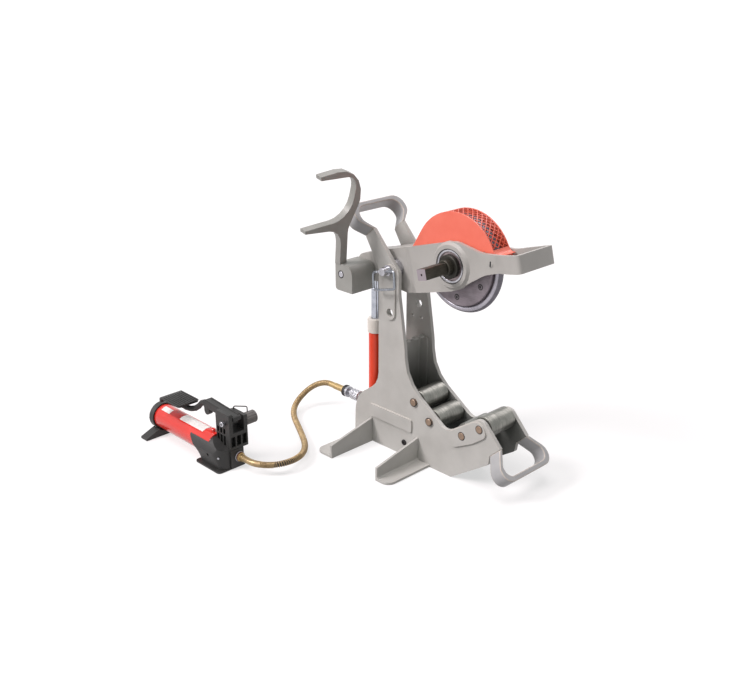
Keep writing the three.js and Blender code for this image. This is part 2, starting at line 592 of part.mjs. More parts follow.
// Wheel guard: a sheet shell that closes the rear, has a window for the mesh in front, and
// turns out in a lip between the strap's cheeks
function guardOutline(inset, low) {
  const rim = arc(arm.hub, 0, guard.radius - inset, guard.startTurn, guard.endTurn,
    facet.large);
  return [...rim,
    new THREE.Vector2(guard.rearE + inset, guard.rearV),
    new THREE.Vector2(guard.footE + inset, guard.footV),
    new THREE.Vector2(guard.tongueE, guard.footV),
    new THREE.Vector2(guard.tongueE, low),
    new THREE.Vector2(guard.wallE - inset, low),
    new THREE.Vector2(guard.wallE - inset, guard.lipV - guard.sheet)];
}

// The lip's section, from its free edge along the curve that meets the rim
function guardLip() {
  const rim = new THREE.Vector2(guard.radius * Math.cos(guard.startTurn) + arm.hub,
    guard.radius * Math.sin(guard.startTurn));
  const edge = new THREE.Vector2(guard.lipE, guard.lipV);
  const bend = new THREE.QuadraticBezierCurve(edge,
    new THREE.Vector2(rim.x + guard.lipBend, guard.lipV), rim);
  return [...bend.getPoints(facet.small / 2),
    new THREE.Vector2(rim.x - guard.sheet, rim.y),
    new THREE.Vector2(guard.wallE - guard.sheet, guard.lipV - guard.sheet),
    new THREE.Vector2(guard.lipE, guard.lipV - guard.sheet)];
}

function guardShell() {
  const half = guard.halfWidth;
  const inside = half - guard.sheet;
  let body = alongY(guardOutline(0, guard.wallLow), -half, half);
  body = body.subtract(alongY(guardOutline(guard.sheet, guard.wallLow - fit.over), -inside,
    inside));
  body = body.subtract(box(guard.footE, guard.wallE - guard.sheet, -inside, inside,
    guard.wallLow - fit.over, guard.footV + fit.over));
  body = body.add(alongY(guardLip(), -half, half));
  const reach = guard.radius + fit.over;
  const window = [
    ...arc(arm.hub, 0, reach, guard.meshStart, guard.meshEnd, facet.medium),
    ...arc(arm.hub, 0, wheel.radius, guard.meshEnd, guard.meshStart, facet.medium),
  ];
  return body.subtract(alongY(window, guard.rim - half, half - guard.rim));
}
piece('wheel_guard', guardShell(), look.orange, armGroup);

// A sheet of diamond openings. Strands cross where i + j is even and each opening is centred
// where it is odd; faces lists the strands and their crossings as flat polygons.
function latticeFaces(rows, columns, open) {
  const faces = [];
  for (let i = 0; i <= rows; i += 1) {
    for (let j = 0; j <= columns; j += 1) {
      if ((i + j) % 2 === 0) {
        const tips = [[i - 1 + open, j], [i, j - 1 + open], [i + 1 - open, j], [i, j + 1 - open]]
          .filter(([a, b]) => a >= 0 && a <= rows && b >= 0 && b <= columns);
        if (tips.length === 2) tips.push([i, j]);
        const middle = [0, 1].map((axis) =>
          tips.reduce((sum, tip) => sum + tip[axis], 0) / tips.length);
        const turn = (tip) => Math.atan2(tip[1] - middle[1], tip[0] - middle[0]);
        faces.push(tips.sort((a, b) => turn(a) - turn(b)));
      } else if (i < rows) {
        const rising = [[i + open, j], [i + 1, j + 1 - open], [i + 1 - open, j + 1], [i, j + open]];
        const falling = [[i, j - open], [i + 1 - open, j - 1], [i + 1, j - 1 + open],
          [i + open, j]];
        if (j < columns) faces.push(rising);
        if (j > 0) faces.push(falling);
      }
    }
  }
  return faces;
}

// Expanded mesh, rolled about the wheel's centre: both skins, and a wall along each open edge
function guardMesh() {
  const radius = guard.radius - guard.sheet / 2;
  const margin = Math.asin(fit.touch / radius);
  const from = guard.meshStart + margin;
  const turn = guard.meshEnd - guard.meshStart - 2 * margin;
  const half = guard.halfWidth - guard.rim - fit.touch;
  const rows = 2 * guard.cellsAlong;
  const columns = 2 * guard.cellsAcross;
  const vertices = [];
  const known = new Map();
  const vertex = ([i, j], skin) => {
    const label = `${i.toFixed(3)} ${j.toFixed(3)} ${skin}`;
    if (!known.has(label)) {
      const level = radius + skin * guard.meshThick / 2;
      const angle = from + turn * i / rows;
      known.set(label, known.size);
      vertices.push(arm.hub + level * Math.cos(angle), half * (2 * j / columns - 1),
        level * Math.sin(angle));
    }
    return known.get(label);
  };
  const triangles = [];
  const edges = new Map();
  latticeFaces(rows, columns, guard.openShare).forEach((face) => {
    const [top, low] = [1, -1].map((skin) => face.map((tip) => vertex(tip, skin)));
    for (let at = 1; at < face.length - 1; at += 1) {
      triangles.push(top[0], top[at + 1], top[at], low[0], low[at], low[at + 1]);
    }
    top.forEach((start, at) => {
      const next = (at + 1) % face.length;
      edges.set(`${start} ${top[next]}`, [start, top[next], low[at], low[next]]);
    });
  });
  edges.forEach(([start, end, lowStart, lowEnd]) => {
    if (edges.has(`${end} ${start}`)) return;
    triangles.push(start, lowEnd, lowStart, start, end, lowEnd);
  });
  const geometry = new THREE.BufferGeometry();
  geometry.setAttribute('position', new THREE.BufferAttribute(Float32Array.from(vertices), 3));
  geometry.setIndex(triangles);
  return solid(geometry);
}
piece('guard_mesh', guardMesh(), look.orange, armGroup);

// Tail pin and the support arm that swings on it
piece('tail_pin', barY(tailPin.radius, -tailPin.e, tailPin.v, -tailPin.near, tailPin.far),
  look.steel, armGroup);
const tail = new THREE.Vector3(-tailPin.e, 0, tailPin.v).applyAxisAngle(Y, -arm.rise)
  .add(armGroup.position);

function supportArm() {
  const [x, z] = [tail.x, tail.z];
  const back = x - support.back;
  const top = z + support.high;
  const block = alongY(outline([
    [back, z - support.low, support.cornerLow],
    [x + support.front, z - support.low],
    [x + support.front, top, support.cornerFront],
    [back, top],
  ]), -support.near, -support.inner);
  const up = new THREE.Vector3(Math.sin(support.lean), 0, Math.cos(support.lean));
  const face = new THREE.Vector3(back + fit.run + support.thick / Math.cos(support.lean), 0, top);
  const base = face.dot(up);
  const level = face.dot(new THREE.Vector3(Math.cos(support.lean), 0, -Math.sin(support.lean)));
  const blade = extruded(outline([
    [fork.rootFar, base - fork.sink], [fork.waist, base + fork.waistUp, fork.waistRound],
    [fork.neck, base + fork.neckUp, fork.neckRound],
    [fork.crown, base + fork.crownUp, fork.crownRound],
    [fork.upTip, base + fork.upTipTop], [fork.upTipBack, base + fork.upTipLow],
    [fork.throatTop, base + fork.throatTopUp, fork.throatTopRound],
    [fork.throatLow, base + fork.throatLowUp, fork.throatLowRound],
    [fork.lowTip, base + fork.lowTipTop], [fork.lowTipBack, base + fork.lowTipLow],
    [fork.armpit, base + fork.armpitUp, fork.armpitRound],
    [fork.rootNear, base - fork.sink],
  ]), Y, up, level - support.thick, level);
  const above = box(x - support.low - fork.crownUp, x + fork.crownUp, fork.lowTip - fit.over, 0,
    top - fit.run, top + fork.crownUp + fork.crownRound);
  const body = block.add(blade.intersect(above));
  return body.subtract(barY(tailPin.radius + fit.touch, x, z, -support.near - fit.over,
    fit.over - support.inner));
}
piece('support_arm', supportArm(), look.casting);

// Lift cylinder: eye, tube with its port, collar, rod with piston, and the rod's slotted eye
function cylinderTube() {
  const spot = [cylinder.x, 0, 0];
  const floor = cylinder.bottom + cylinder.floor;
  let body = turned([[0, cylinder.bottom], [cylinder.tube, cylinder.bottom],
    [cylinder.tube, cylinder.top], [cylinder.bore, cylinder.top], [cylinder.bore, floor],
    [0, floor]], facet.large, Z, spot);
  const eye = cylinder.eyeHalf;
  body = body.add(alongY(outline([
    [cylinder.x - cylinder.eyeRadius, cylinder.eyeZ - cylinder.eyeRadius, cylinder.eyeRadius],
    [cylinder.x + cylinder.eyeRadius, cylinder.eyeZ - cylinder.eyeRadius, cylinder.eyeRadius],
    [cylinder.x + cylinder.eyeRadius, floor], [cylinder.x - cylinder.eyeRadius, floor],
  ]), -eye, eye).subtract(bar(cylinder.bore, floor - fit.touch, floor + fit.over, facet.large,
    Z, spot)));
  const port = [cylinder.x, 0, cylinder.portZ];
  const boss = bar(cylinder.portRadius, cylinder.bore + fit.touch, cylinder.portOut, facet.medium,
    X.clone().negate(), port);
  const inside = bar(cylinder.bore, floor, cylinder.top, facet.large, Z, spot);
  body = body.add(boss.subtract(inside));
  body = body.subtract(bar(coupler.bore, 0, cylinder.portOut + fit.over, facet.small,
    X.clone().negate(), port));
  return body.subtract(barY(cylinder.pinHole, cylinder.x, cylinder.eyeZ, -eye - fit.over,
    eye + fit.over));
}
piece('lift_cylinder_tube', cylinderTube(), look.orange);
piece('cylinder_collar', turned([
  [cylinder.collarBore, cylinder.top + fit.touch], [cylinder.collar, cylinder.top + fit.touch],
  [cylinder.collar, cylinder.collarTop - cylinder.collarEdge],
  [cylinder.collar - cylinder.collarEdge, cylinder.collarTop],
  [cylinder.collarBore, cylinder.collarTop], [cylinder.collarBore, cylinder.top + fit.touch],
], facet.large, Z, [cylinder.x, 0, 0]), look.cream);

const eyeHigh = tailPin.radius + rodEye.slotZ;
const eyeWide = tailPin.radius + rodEye.slotX;
const eyeBottom = tail.z - eyeHigh - rodEye.wall;
piece('lift_rod', turned([
  [0, cylinder.pistonLow], [cylinder.pistonRadius, cylinder.pistonLow],
  [cylinder.pistonRadius, cylinder.pistonHigh], [cylinder.rod, cylinder.pistonHigh],
  [cylinder.rod, eyeBottom - fit.touch], [0, eyeBottom - fit.touch],
], facet.large, Z, [cylinder.x, 0, 0]), look.chrome);
piece('rod_eye', alongY(rectangle(cylinder.x - eyeWide - rodEye.wall, eyeBottom,
  cylinder.x + eyeWide + rodEye.wall, tail.z + eyeHigh + rodEye.wall,
  eyeHigh + rodEye.wall - fit.touch), -rodEye.halfY, rodEye.halfY)
  .subtract(alongY(rectangle(cylinder.x - eyeWide, tail.z - eyeHigh, cylinder.x + eyeWide,
    tail.z + eyeHigh, eyeHigh - fit.touch), -rodEye.halfY - fit.over,
  rodEye.halfY + fit.over)), look.steel);

function baseBracket() {
  const earTop = cylinder.bottom - fit.run;
  let body = box(-bracket.back, -bracket.front, -between, between, 0, bracket.height);
  [-1, 1].forEach((side) => {
    const near = side * (cylinder.eyeHalf + fit.run);
    const far = near + side * bracket.earThick;
    body = body.add(alongY(outline([
      [cylinder.x - bracket.earHalf, bracket.height - fit.run],
      [cylinder.x + bracket.earHalf, bracket.height - fit.run],
      [cylinder.x + bracket.earHalf, earTop, bracket.earHalf - fit.touch],
      [cylinder.x - bracket.earHalf, earTop, bracket.earHalf - fit.touch],
    ]), Math.min(near, far), Math.max(near, far)));
  });
  return body.subtract(barY(cylinder.pinHole, cylinder.x, cylinder.eyeZ, -plate.inner,
    plate.inner));
}
piece('cylinder_bracket', baseBracket(), look.casting);
piece('cylinder_pin', barY(cylinder.pin, cylinder.x, cylinder.eyeZ, -cylinder.pinHalf,
  cylinder.pinHalf), look.steel);

// Pull-out pivot pin with its cross rivet, which leans as the arm does
const crossAxis = new THREE.Vector3(Math.cos(arm.rise), 0, Math.sin(arm.rise));
const crossSpot = new THREE.Vector3(pivot.x, -lockPin.crossAt, pivot.z);
function pivotLockPin() {
  const collar = -(outer + pad.proud + fit.run);
  const edge = lockPin.chamfer;
  const shank = pivot.pin;
  const stem = turned([[0, -lockPin.near], [shank - edge, -lockPin.near],
    [shank, edge - lockPin.near], [shank, collar - lockPin.headLength],
    [lockPin.headRadius, collar - lockPin.headLength], [lockPin.headRadius, collar],
    [shank, collar], [shank, lockPin.far - edge], [shank - edge, lockPin.far],
    [0, lockPin.far]], facet.medium, Y, [pivot.x, 0, pivot.z]);
  const rivet = bar(lockPin.rivet, -lockPin.rivetOut, lockPin.rivetOut, facet.small, crossAxis,
    crossSpot.toArray());
  const ball = new THREE.SphereGeometry(lockPin.ballRadius, facet.small, facet.small / 2);
  ball.translate(...crossSpot.clone().addScaledVector(crossAxis, -lockPin.rivetOut).toArray());
  return stem.add(rivet).add(solid(ball));
}
piece('pivot_pin', pivotLockPin(), look.steel);

// Sweeps a round wire along a chain of points with rounded corners.
function wire(points, radius, sides, steps) {
  const path = new THREE.CurvePath();
  const last = points.length - 1;
  const cut = (from, to, by) => from.clone().add(to.clone().sub(from).setLength(by));
  let start = points[0].at;
  points.forEach(({ at, round = 0 }, index) => {
    if (index === 0) return;
    if (index === last || round === 0) {
      path.add(new THREE.LineCurve3(start, at));
      start = at;
      return;
    }
    const enter = cut(at, start, round);
    const leave = cut(at, points[index + 1].at, round);
    path.add(new THREE.LineCurve3(start, enter));
    path.add(new THREE.QuadraticBezierCurve3(enter, at, leave));
    start = leave;
  });
  const centres = [];
  path.curves.forEach((curve) => {
    const count = curve.isLineCurve3 ? 1 : steps;
    const list = curve.getPoints(count);
    centres.push(...(centres.length ? list.slice(1) : list));
  });
  return tube(centres, () => radius, sides);
}

// A closed round tube through centres, its radius a function of the ring's number. Each ring
// is carried on from the one before, so that the tube doesn't twist.
function tube(centres, radiusAt, sides, bore) {
  const count = centres.length;
  const tangents = centres.map((centre, index) => {
    const before = centres[Math.max(index - 1, 0)];
    const after = centres[Math.min(index + 1, count - 1)];
    return after.clone().sub(before).normalize();
  });
  const seed = Math.abs(tangents[0].z) < 0.9 ? Z : X;
  let normal = seed.clone().cross(tangents[0]).normalize();
  const frames = tangents.map((tangent) => {
    normal = normal.clone().addScaledVector(tangent, -normal.dot(tangent)).normalize();
    return [normal, tangent.clone().cross(normal)];
  });
  const vertices = [];
  const faces = [];
  const ring = (index, radius) => {
    const first = vertices.length / 3;
    for (let side = 0; side < sides; side += 1) {
      const turn = 2 * Math.PI * side / sides;
      const point = centres[index].clone()
        .addScaledVector(frames[index][0], radius * Math.cos(turn))
        .addScaledVector(frames[index][1], radius * Math.sin(turn));
      vertices.push(point.x, point.y, point.z);
    }
    return first;
  };
  const join = (low, high) => {
    for (let side = 0; side < sides; side += 1) {
      const next = (side + 1) % sides;
      faces.push(low + side, low + next, high + next, low + side, high + next, high + side);
    }
  };
  const skin = centres.map((_, index) => ring(index, radiusAt(index)));
  for (let index = 1; index < count; index += 1) join(skin[index - 1], skin[index]);
  if (bore) {
    const kept = centres.map((_, index) => index)
      .filter((index) => index % (2 * bore.every) === 0 || index === count - 1);
    const lining = kept.map((index) => ring(index, bore.radius));
    for (let index = 1; index < lining.length; index += 1) join(lining[index], lining[index - 1]);
    join(lining[0], skin[0]);
    join(skin[count - 1], lining[lining.length - 1]);
  } else {
    [[0, -1], [count - 1, 1]].forEach(([index, heading]) => {
      const middle = vertices.length / 3;
      vertices.push(...centres[index].toArray());
      for (let side = 0; side < sides; side += 1) {
        const next = (side + 1) % sides;
        const [a, b] = heading > 0 ? [side, next] : [next, side];
        faces.push(middle, skin[index] + a, skin[index] + b);
      }
    });
  }
  const geometry = new THREE.BufferGeometry();
  geometry.setAttribute('position', new THREE.BufferAttribute(Float32Array.from(vertices), 3));
  geometry.setIndex(faces);
  return solid(geometry);
}

function wireBail() {
  const down = new THREE.Vector3(Math.sin(arm.rise) * Math.cos(bail.lean), -Math.sin(bail.lean),
    -Math.cos(arm.rise) * Math.cos(bail.lean));
  const at = (side, low) => crossSpot.clone().addScaledVector(crossAxis, side)
    .addScaledVector(down, low);
  const end = lockPin.rivetOut + fit.touch;
  const wide = bail.halfWide;
  return wire([
    { at: at(end, 0) }, { at: at(wide, 0), round: bail.corner },
    { at: at(wide, bail.drop), round: bail.corner },
    { at: at(-wide, bail.drop), round: bail.corner },
    { at: at(-wide, 0), round: bail.corner }, { at: at(-end - lockPin.ballRadius, 0) },
  ], bail.wire, 6, 3);
}
piece('pin_bail', wireBail(), look.steel);

// Hose line, from the cylinder's port back to the pump: nipple, coupler, ferrules and hose
const toPump = X.clone().negate();
const lineAt = (x) => [x, 0, cylinder.portZ];
const portEnd = cylinder.x - cylinder.portOut - fit.touch;
const hexagon = bar(nipple.hexRadius, 0, nipple.hexLength, 6, toPump, lineAt(portEnd));
piece('port_nipple', hexagon.add(bar(nipple.radius, 0, nipple.length, facet.medium, toPump,
  lineAt(portEnd))).subtract(bar(coupler.bore, -fit.over, nipple.length + fit.over, facet.small,
  toPump, lineAt(portEnd))), look.steel);

// Coupler: a body with a collar and a dust ring at each end, and a sliding sleeve between
const couplerAt = portEnd - nipple.length - fit.touch;
const ringEnd = coupler.collarLength + coupler.ringLength;
const collarEnd = coupler.length - coupler.collarLength;
piece('coupler_body', turned([
  [coupler.bore, 0], [coupler.collar, 0], [coupler.collar, coupler.collarLength],
  [coupler.ringRadius, coupler.collarLength], [coupler.ringRadius, ringEnd],
  [coupler.core, ringEnd], [coupler.core, collarEnd - coupler.ringLength],
  [coupler.ringRadius, collarEnd - coupler.ringLength], [coupler.ringRadius, collarEnd],
  [coupler.collar, collarEnd], [coupler.collar, coupler.length - coupler.edge],
  [coupler.collar - coupler.edge, coupler.length], [coupler.bore, coupler.length],
  [coupler.bore, 0],
], facet.medium, toPump, lineAt(couplerAt)), look.steel);
piece('coupler_sleeve', sleeve(coupler.sleeve, coupler.sleeveBore, coupler.sleeveAt,
  coupler.sleeveAt + coupler.sleeveLength, facet.medium, toPump, lineAt(couplerAt)), look.steel);

// A hose ferrule: a collar and a plain sleeve with the hose's bore
const hoseFerrule = (direction, spot, length) => turned([
  [ferrule.bore, 0], [ferrule.collar, 0], [ferrule.collar, ferrule.collarLength],
  [ferrule.radius, ferrule.collarLength], [ferrule.radius, length], [ferrule.bore, length],
  [ferrule.bore, 0],
], facet.medium, direction, spot);
const ferruleAt = couplerAt - coupler.length - fit.touch;
piece('hose_ferrule', hoseFerrule(toPump, lineAt(ferruleAt), ferrule.length), look.brass);
const outletAt = body.front + fit.touch;
const outletSpot = [outletAt, pump.outletY, pump.outletZ];
piece('outlet_ferrule', hoseFerrule(X, outletSpot, ferrule.shortLength), look.brass);

// A smooth curve drawn by its control points, which starts and ends along its first and last ones
function smoothCurve(controls) {
  const degree = 3;
  const spans = controls.length - degree;
  const clamped = Array(degree).fill(0);
  const knots = [...clamped, ...Array.from({ length: spans + 1 }, (_, knot) => knot / spans),
    ...Array(degree).fill(1)];
  return new NURBSCurve(degree, knots, controls.map(({ x, y, z }) =>
    new THREE.Vector4(x, y, z, 1)));
}

function ribbedHose() {
  const start = outletAt + ferrule.shortLength + fit.touch;
  const end = ferruleAt - ferrule.length - fit.touch;
  const first = new THREE.Vector3(start, pump.outletY, pump.outletZ);
  const final = new THREE.Vector3(end, 0, cylinder.portZ);
  const ahead = (point, by) => point.clone().addScaledVector(X, by);
  const curve = smoothCurve([
    ahead(first, hose.plain), ahead(first, hose.plain + hose.lead),
    ...hoseRoute.map((place) => new THREE.Vector3(...place)),
    ahead(final, -hose.plain - hose.lead), ahead(final, -hose.plain),
  ]);
  curve.arcLengthDivisions = 4000;
  const centres = [first, ...curve.getSpacedPoints(2 * hose.ribs), final];
  const count = centres.length;
  const radiusAt = (ring) => {
    if (ring === 0 || ring === count - 1) return hose.valley;
    return ring % 2 === 0 ? hose.radius : hose.valley;
  };
  return tube(centres, radiusAt, hose.sides, { radius: hose.bore, every: hose.boreEvery });
}
piece('hose', ribbedHose(), look.hose);

// Foot pump: tank tube and its end cap, rear foot, base plate and body casting
const tankAxis = [0, pump.y, pump.z];
const tankBar = (radius, from, to) => bar(radius, from, to, facet.large, X, tankAxis);
piece('pump_tank', tankBar(pump.tube, pump.tubeRear + fit.touch, pump.tubeFront), look.red);
const capSocket = tankBar(pump.tube + fit.touch, pump.tubeRear, pump.capFront + fit.over);
piece('pump_end_cap', turned([
  [0, pump.capRear], [pump.cap - pump.capEdge, pump.capRear],
  [pump.cap, pump.capRear + pump.capEdge], [pump.cap, pump.capFront], [0, pump.capFront],
], facet.large, X, tankAxis).subtract(capSocket), look.black);

function rearFoot() {
  const profile = outline([
    [pump.y - pump.footHalf, 0], [pump.y + pump.footHalf, 0],
    [pump.y + pump.footHalf, pump.footThick], [pump.y + pump.footNeck, pump.footTop],
    [pump.y - pump.footNeck, pump.footTop], [pump.y - pump.footHalf, pump.footThick],
  ]);
  const seat = tankBar(pump.cap + fit.touch, pump.footRear - fit.over,
    pump.footFront + fit.over);
  return alongX(profile, pump.footRear, pump.footFront).subtract(seat);
}
piece('pump_rear_foot', rearFoot(), look.black);

piece('pump_base_plate', alongZ(rectangle(pumpBase.rear, pumpBase.near, pumpBase.front,
  pumpBase.far, pumpBase.corner), 0, pumpBase.thick), look.black);

function pumpBody() {
  const low = pumpBase.thick + fit.touch;
  const profile = alongX(outline([
    [body.nearFoot, low], [body.far, low], [body.far, body.top, body.farRound],
    [body.ridgeY, body.top, body.ridgeRound], [body.bulgeY, body.bulgeZ, body.bulgeRound],
    [body.near, body.creaseZ, body.creaseRound],
  ]), body.beakX, body.front);
  const rear = [
    [body.beakTop, body.top], [body.beakX, body.beakZ, body.beakRound],
    [body.waistX, body.waistZ, body.waistRound], [body.heelX, low],
  ];
  const coreRear = upright.rear - fit.touch;
  const coreNear = upright.near - fit.touch;
  const core = box(body.waistX, body.front, coreNear - fit.over, body.far + fit.over, low,
    body.core);
  const shoulder = alongY(outline([
    ...rear, [body.shoulderFront, low], [body.shoulderFront, body.shoulderZ],
    [coreRear, body.top],
  ]), body.near - fit.over, coreNear);
  const plan = alongZ(outline([
    [body.beakX, body.near], [body.shoulderFront, body.near, body.corner],
    [body.shoulderFront, coreNear], [body.front, coreNear], [body.front, body.far],
    [body.beakX, body.far],
  ]), 0, body.top + fit.over);
  let casting = profile.intersect(core.add(shoulder)).intersect(plan);
  casting = casting.subtract(tankBar(pump.tube + fit.touch, body.beakX - fit.over,
    pump.tubeFront + fit.touch));
  return casting.subtract(barY(body.hole, body.holeX, body.holeZ, body.near - fit.over,
    body.near + body.holeDepth, facet.small));
}
piece('pump_body', pumpBody(), look.black);

// Ribbed upright with the lever's slot, and pockets between its ribs
const uprightLow = body.core + fit.touch;
function pumpUpright() {
  const { rear, front: face, near, far, high, rib, side } = upright;
  let block = alongY(outline([
    [rear, uprightLow], [face, uprightLow], [face, high, upright.edge],
    [rear, high, upright.edge],
  ]), near, far);
  block = block.subtract(box(rear - fit.over, face + fit.over, upright.slotNear,
    upright.slotFar, upright.slotLow, high + fit.over));
  block = block.subtract(box(rear - fit.over, face + fit.over, upright.slotFar - fit.over,
    far + fit.over, upright.farHigh, high + fit.over));
  const wide = (far - near - 2 * side - 2 * rib) / 3;
  for (let pocket = 0; pocket < 3; pocket += 1) {
    const from = near + side + pocket * (wide + rib);
    block = block.subtract(box(face - upright.pocketDepth, face + fit.over, from, from + wide,
      upright.pocketLow, upright.pocketHigh));
  }
  const long = (face - upright.pocketDepth - rear - 4 * side) / 3;
  const rows = [[upright.pocketLow, upright.pocketHigh], [upright.rowLow, upright.rowHigh]];
  rows.forEach(([level, top]) => {
    for (let column = 0; column < 3; column += 1) {
      const from = rear + side + column * (long + side);
      block = block.subtract(box(from, from + long, near - fit.over, near + upright.sideDepth,
        level, top));
      block = block.subtract(box(from, from + long, far - upright.sideDepth, far + fit.over,
        level, top));
    }
  });
  block = block.subtract(barY(lever.pin + fit.touch, lever.pinX, lever.pinZ, near - fit.over,
    far + fit.over));
  block = block.subtract(barY(knob.stem + fit.touch, knob.x, knob.z,
    far - knob.stemDeep - fit.touch, far + fit.over, facet.small));
  return block.subtract(bar(plunger.radius + fit.touch, plunger.low - fit.touch,
    upright.slotLow + fit.over, facet.medium, Z, [plunger.x, lever.y, 0]));
}
piece('pump_upright', pumpUpright(), look.black);

// Foot lever with its curved neck, and the pedal on the neck's end
const neck = new THREE.CatmullRomCurve3(neckRoute.map((place) => new THREE.Vector3(...place)));
function footLever() {
  const near = lever.y - lever.halfWidth;
  const far = lever.y + lever.halfWidth;
  let beam = alongY(outline([
    [lever.rear, lever.low, lever.edge], [lever.front, lever.low, lever.edge / 2],
    [lever.front, lever.topFront, lever.edge], [lever.rear, lever.top, lever.edge],
  ]), near, far);
  beam = beam.add(barY(lever.boss, lever.pinX, lever.pinZ, near, far));
  beam = beam.add(barY(lever.lug, lever.lugX, lever.lugZ, near + lever.edge, far - lever.edge));
  beam = beam.add(alongY(rectangle(lever.lugX - lever.lug, lever.lugZ, lever.lugX + lever.lug,
    lever.low + fit.over), near + lever.edge, far - lever.edge));
  beam = beam.add(tube(neck.getSpacedPoints(facet.small), () => lever.neck, facet.small));
  return beam.subtract(barY(lever.pin + fit.touch, lever.pinX, lever.pinZ, near - fit.over,
    far + fit.over));
}
piece('pump_lever', footLever(), look.black);
piece('lever_pin', barY(lever.pin, lever.pinX, lever.pinZ, lever.pinNear,
  upright.far - fit.touch, facet.medium), look.steel);

function footPedal() {
  const low = pedal.top - pedal.thick;
  const tread = alongY(outline([
    [pedal.rear, low - pedal.lip, fit.touch],
    [pedal.rear + pedal.thick, low - pedal.lip, fit.touch],
    [pedal.rear + pedal.thick + pedal.lipRound / 3, low, pedal.lipRound - pedal.thick],
    [pedal.front, low], [pedal.front, pedal.top],
    [pedal.rear, pedal.top, pedal.lipRound],
  ]), pedal.near, pedal.far);
  const plan = alongZ(rectangle(pedal.rear - fit.over, pedal.near, pedal.front, pedal.far,
    pedal.corner), low - pedal.lip - fit.over, pedal.top + fit.over);
  const socket = bar(pedal.hub, pedal.hubFrom, pedal.hubTo, facet.medium, X,
    [0, pedal.y, pedal.z]);
  const stand = box(pedal.hubFrom, pedal.hubTo, pedal.y - pedal.hub, pedal.y + pedal.hub,
    pedal.z, low + fit.run);
  const end = neck.getPoint(1);
  const hollow = tube([...neck.getSpacedPoints(facet.small),
    end.clone().addScaledVector(neck.getTangent(1), fit.run)], () => lever.neck + fit.run,
  facet.small);
  return tread.intersect(plan).add(socket.add(stand)).subtract(hollow);
}
piece('foot_pedal', footPedal(), look.black);

piece('pump_plunger', turned([
  [0, plunger.low], [plunger.radius, plunger.low],
  [plunger.radius, plunger.high - plunger.headHeight],
  [plunger.head, plunger.high - plunger.headHeight], [plunger.head, plunger.high],
  [0, plunger.high],
], facet.medium, Z, [plunger.x, lever.y, 0]), look.steel);

// Release knob: a fluted barrel with an end rim and a stem in the upright's wall
function releaseKnob() {
  const steps = 4 * knob.flutes;
  const fluted = Array.from({ length: steps }, (_, step) => {
    const turn = 2 * Math.PI * step / steps;
    const radius = knob.radius - knob.flute * (step % 4 === 0 ? 1 : 0);
    return new THREE.Vector2(knob.x + radius * Math.cos(turn), knob.z + radius * Math.sin(turn));
  });
  const from = upright.far + fit.touch;
  const stem = barY(knob.stem, knob.x, knob.z, upright.far - knob.stemDeep, from + fit.over,
    facet.small);
  return alongY(fluted, from, knob.far - knob.rim)
    .add(barY(knob.radius, knob.x, knob.z, knob.far - knob.rim, knob.far, facet.large))
    .add(stem);
}
piece('release_knob', releaseKnob(), look.black);

function latchWire() {
  const foot = upright.farHigh + fit.touch;
  const high = foot + latch.rise;
  const end = knob.z + knob.radius + fit.touch + latch.wire / 2;
  return wire([
    { at: new THREE.Vector3(latch.x, latch.y, foot) },
    { at: new THREE.Vector3(latch.x, latch.y, high), round: latch.corner },
    { at: new THREE.Vector3(knob.x, latch.reach, high), round: latch.corner },
    { at: new THREE.Vector3(knob.x, latch.reach, end) },
  ], latch.wire, 6, 3);
}
piece('pedal_latch', latchWire(), look.dark);

piece('tank_filler', turned([
  [0, 0], [filler.radius, 0], [filler.radius, filler.height - filler.edge],
  [filler.radius - filler.edge, filler.height], [0, filler.height],
], facet.small, Z, [filler.x, pump.y, pump.z + pump.tube + fit.touch]), look.red);

export default assembly;
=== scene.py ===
# %% [markdown]
# Power pipe cutter: two side plates carry four rollers, a swinging arm carries the cutting wheel,
# and a foot pump on a hose works the lift cylinder. The CAD model comes in as a frame of finished
# bodies, and every surface and small piece here is fitted to it. All lengths are in metres, and
# MM turns a length in millimetres into metres.

import math

import bmesh
import bpy
from mathutils import Matrix, Vector


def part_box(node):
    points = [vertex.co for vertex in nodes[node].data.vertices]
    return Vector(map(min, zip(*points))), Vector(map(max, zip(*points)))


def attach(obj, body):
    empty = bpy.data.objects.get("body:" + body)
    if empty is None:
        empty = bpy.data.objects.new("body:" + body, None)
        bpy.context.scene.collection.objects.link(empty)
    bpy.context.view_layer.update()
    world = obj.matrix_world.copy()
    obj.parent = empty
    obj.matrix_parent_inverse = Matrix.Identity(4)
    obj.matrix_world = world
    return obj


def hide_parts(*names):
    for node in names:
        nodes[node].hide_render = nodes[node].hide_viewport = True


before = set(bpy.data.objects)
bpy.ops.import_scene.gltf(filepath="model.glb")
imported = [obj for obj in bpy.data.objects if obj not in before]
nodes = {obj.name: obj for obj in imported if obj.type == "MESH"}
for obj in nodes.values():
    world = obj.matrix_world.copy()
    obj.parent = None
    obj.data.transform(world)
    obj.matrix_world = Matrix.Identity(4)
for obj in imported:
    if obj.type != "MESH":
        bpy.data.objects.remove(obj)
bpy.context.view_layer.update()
MM = 0.001

# %% [markdown]
# The camera looks down at the near side from the front corner, as a catalogue photographer would
# stand. It could be set by eye until the picture looks right. Here its place and focal length
# were fitted to the straight edges of the stand, so that the shapes can be held to the photograph.

# %% Camera
CAMERA_AT = Vector((1.3225, -1.5631, 1.100))
CAMERA_AHEAD = Vector((-0.66497, 0.64892, -0.36975))
FOCAL_MM = 48.06
SENSOR_MM = 36.0

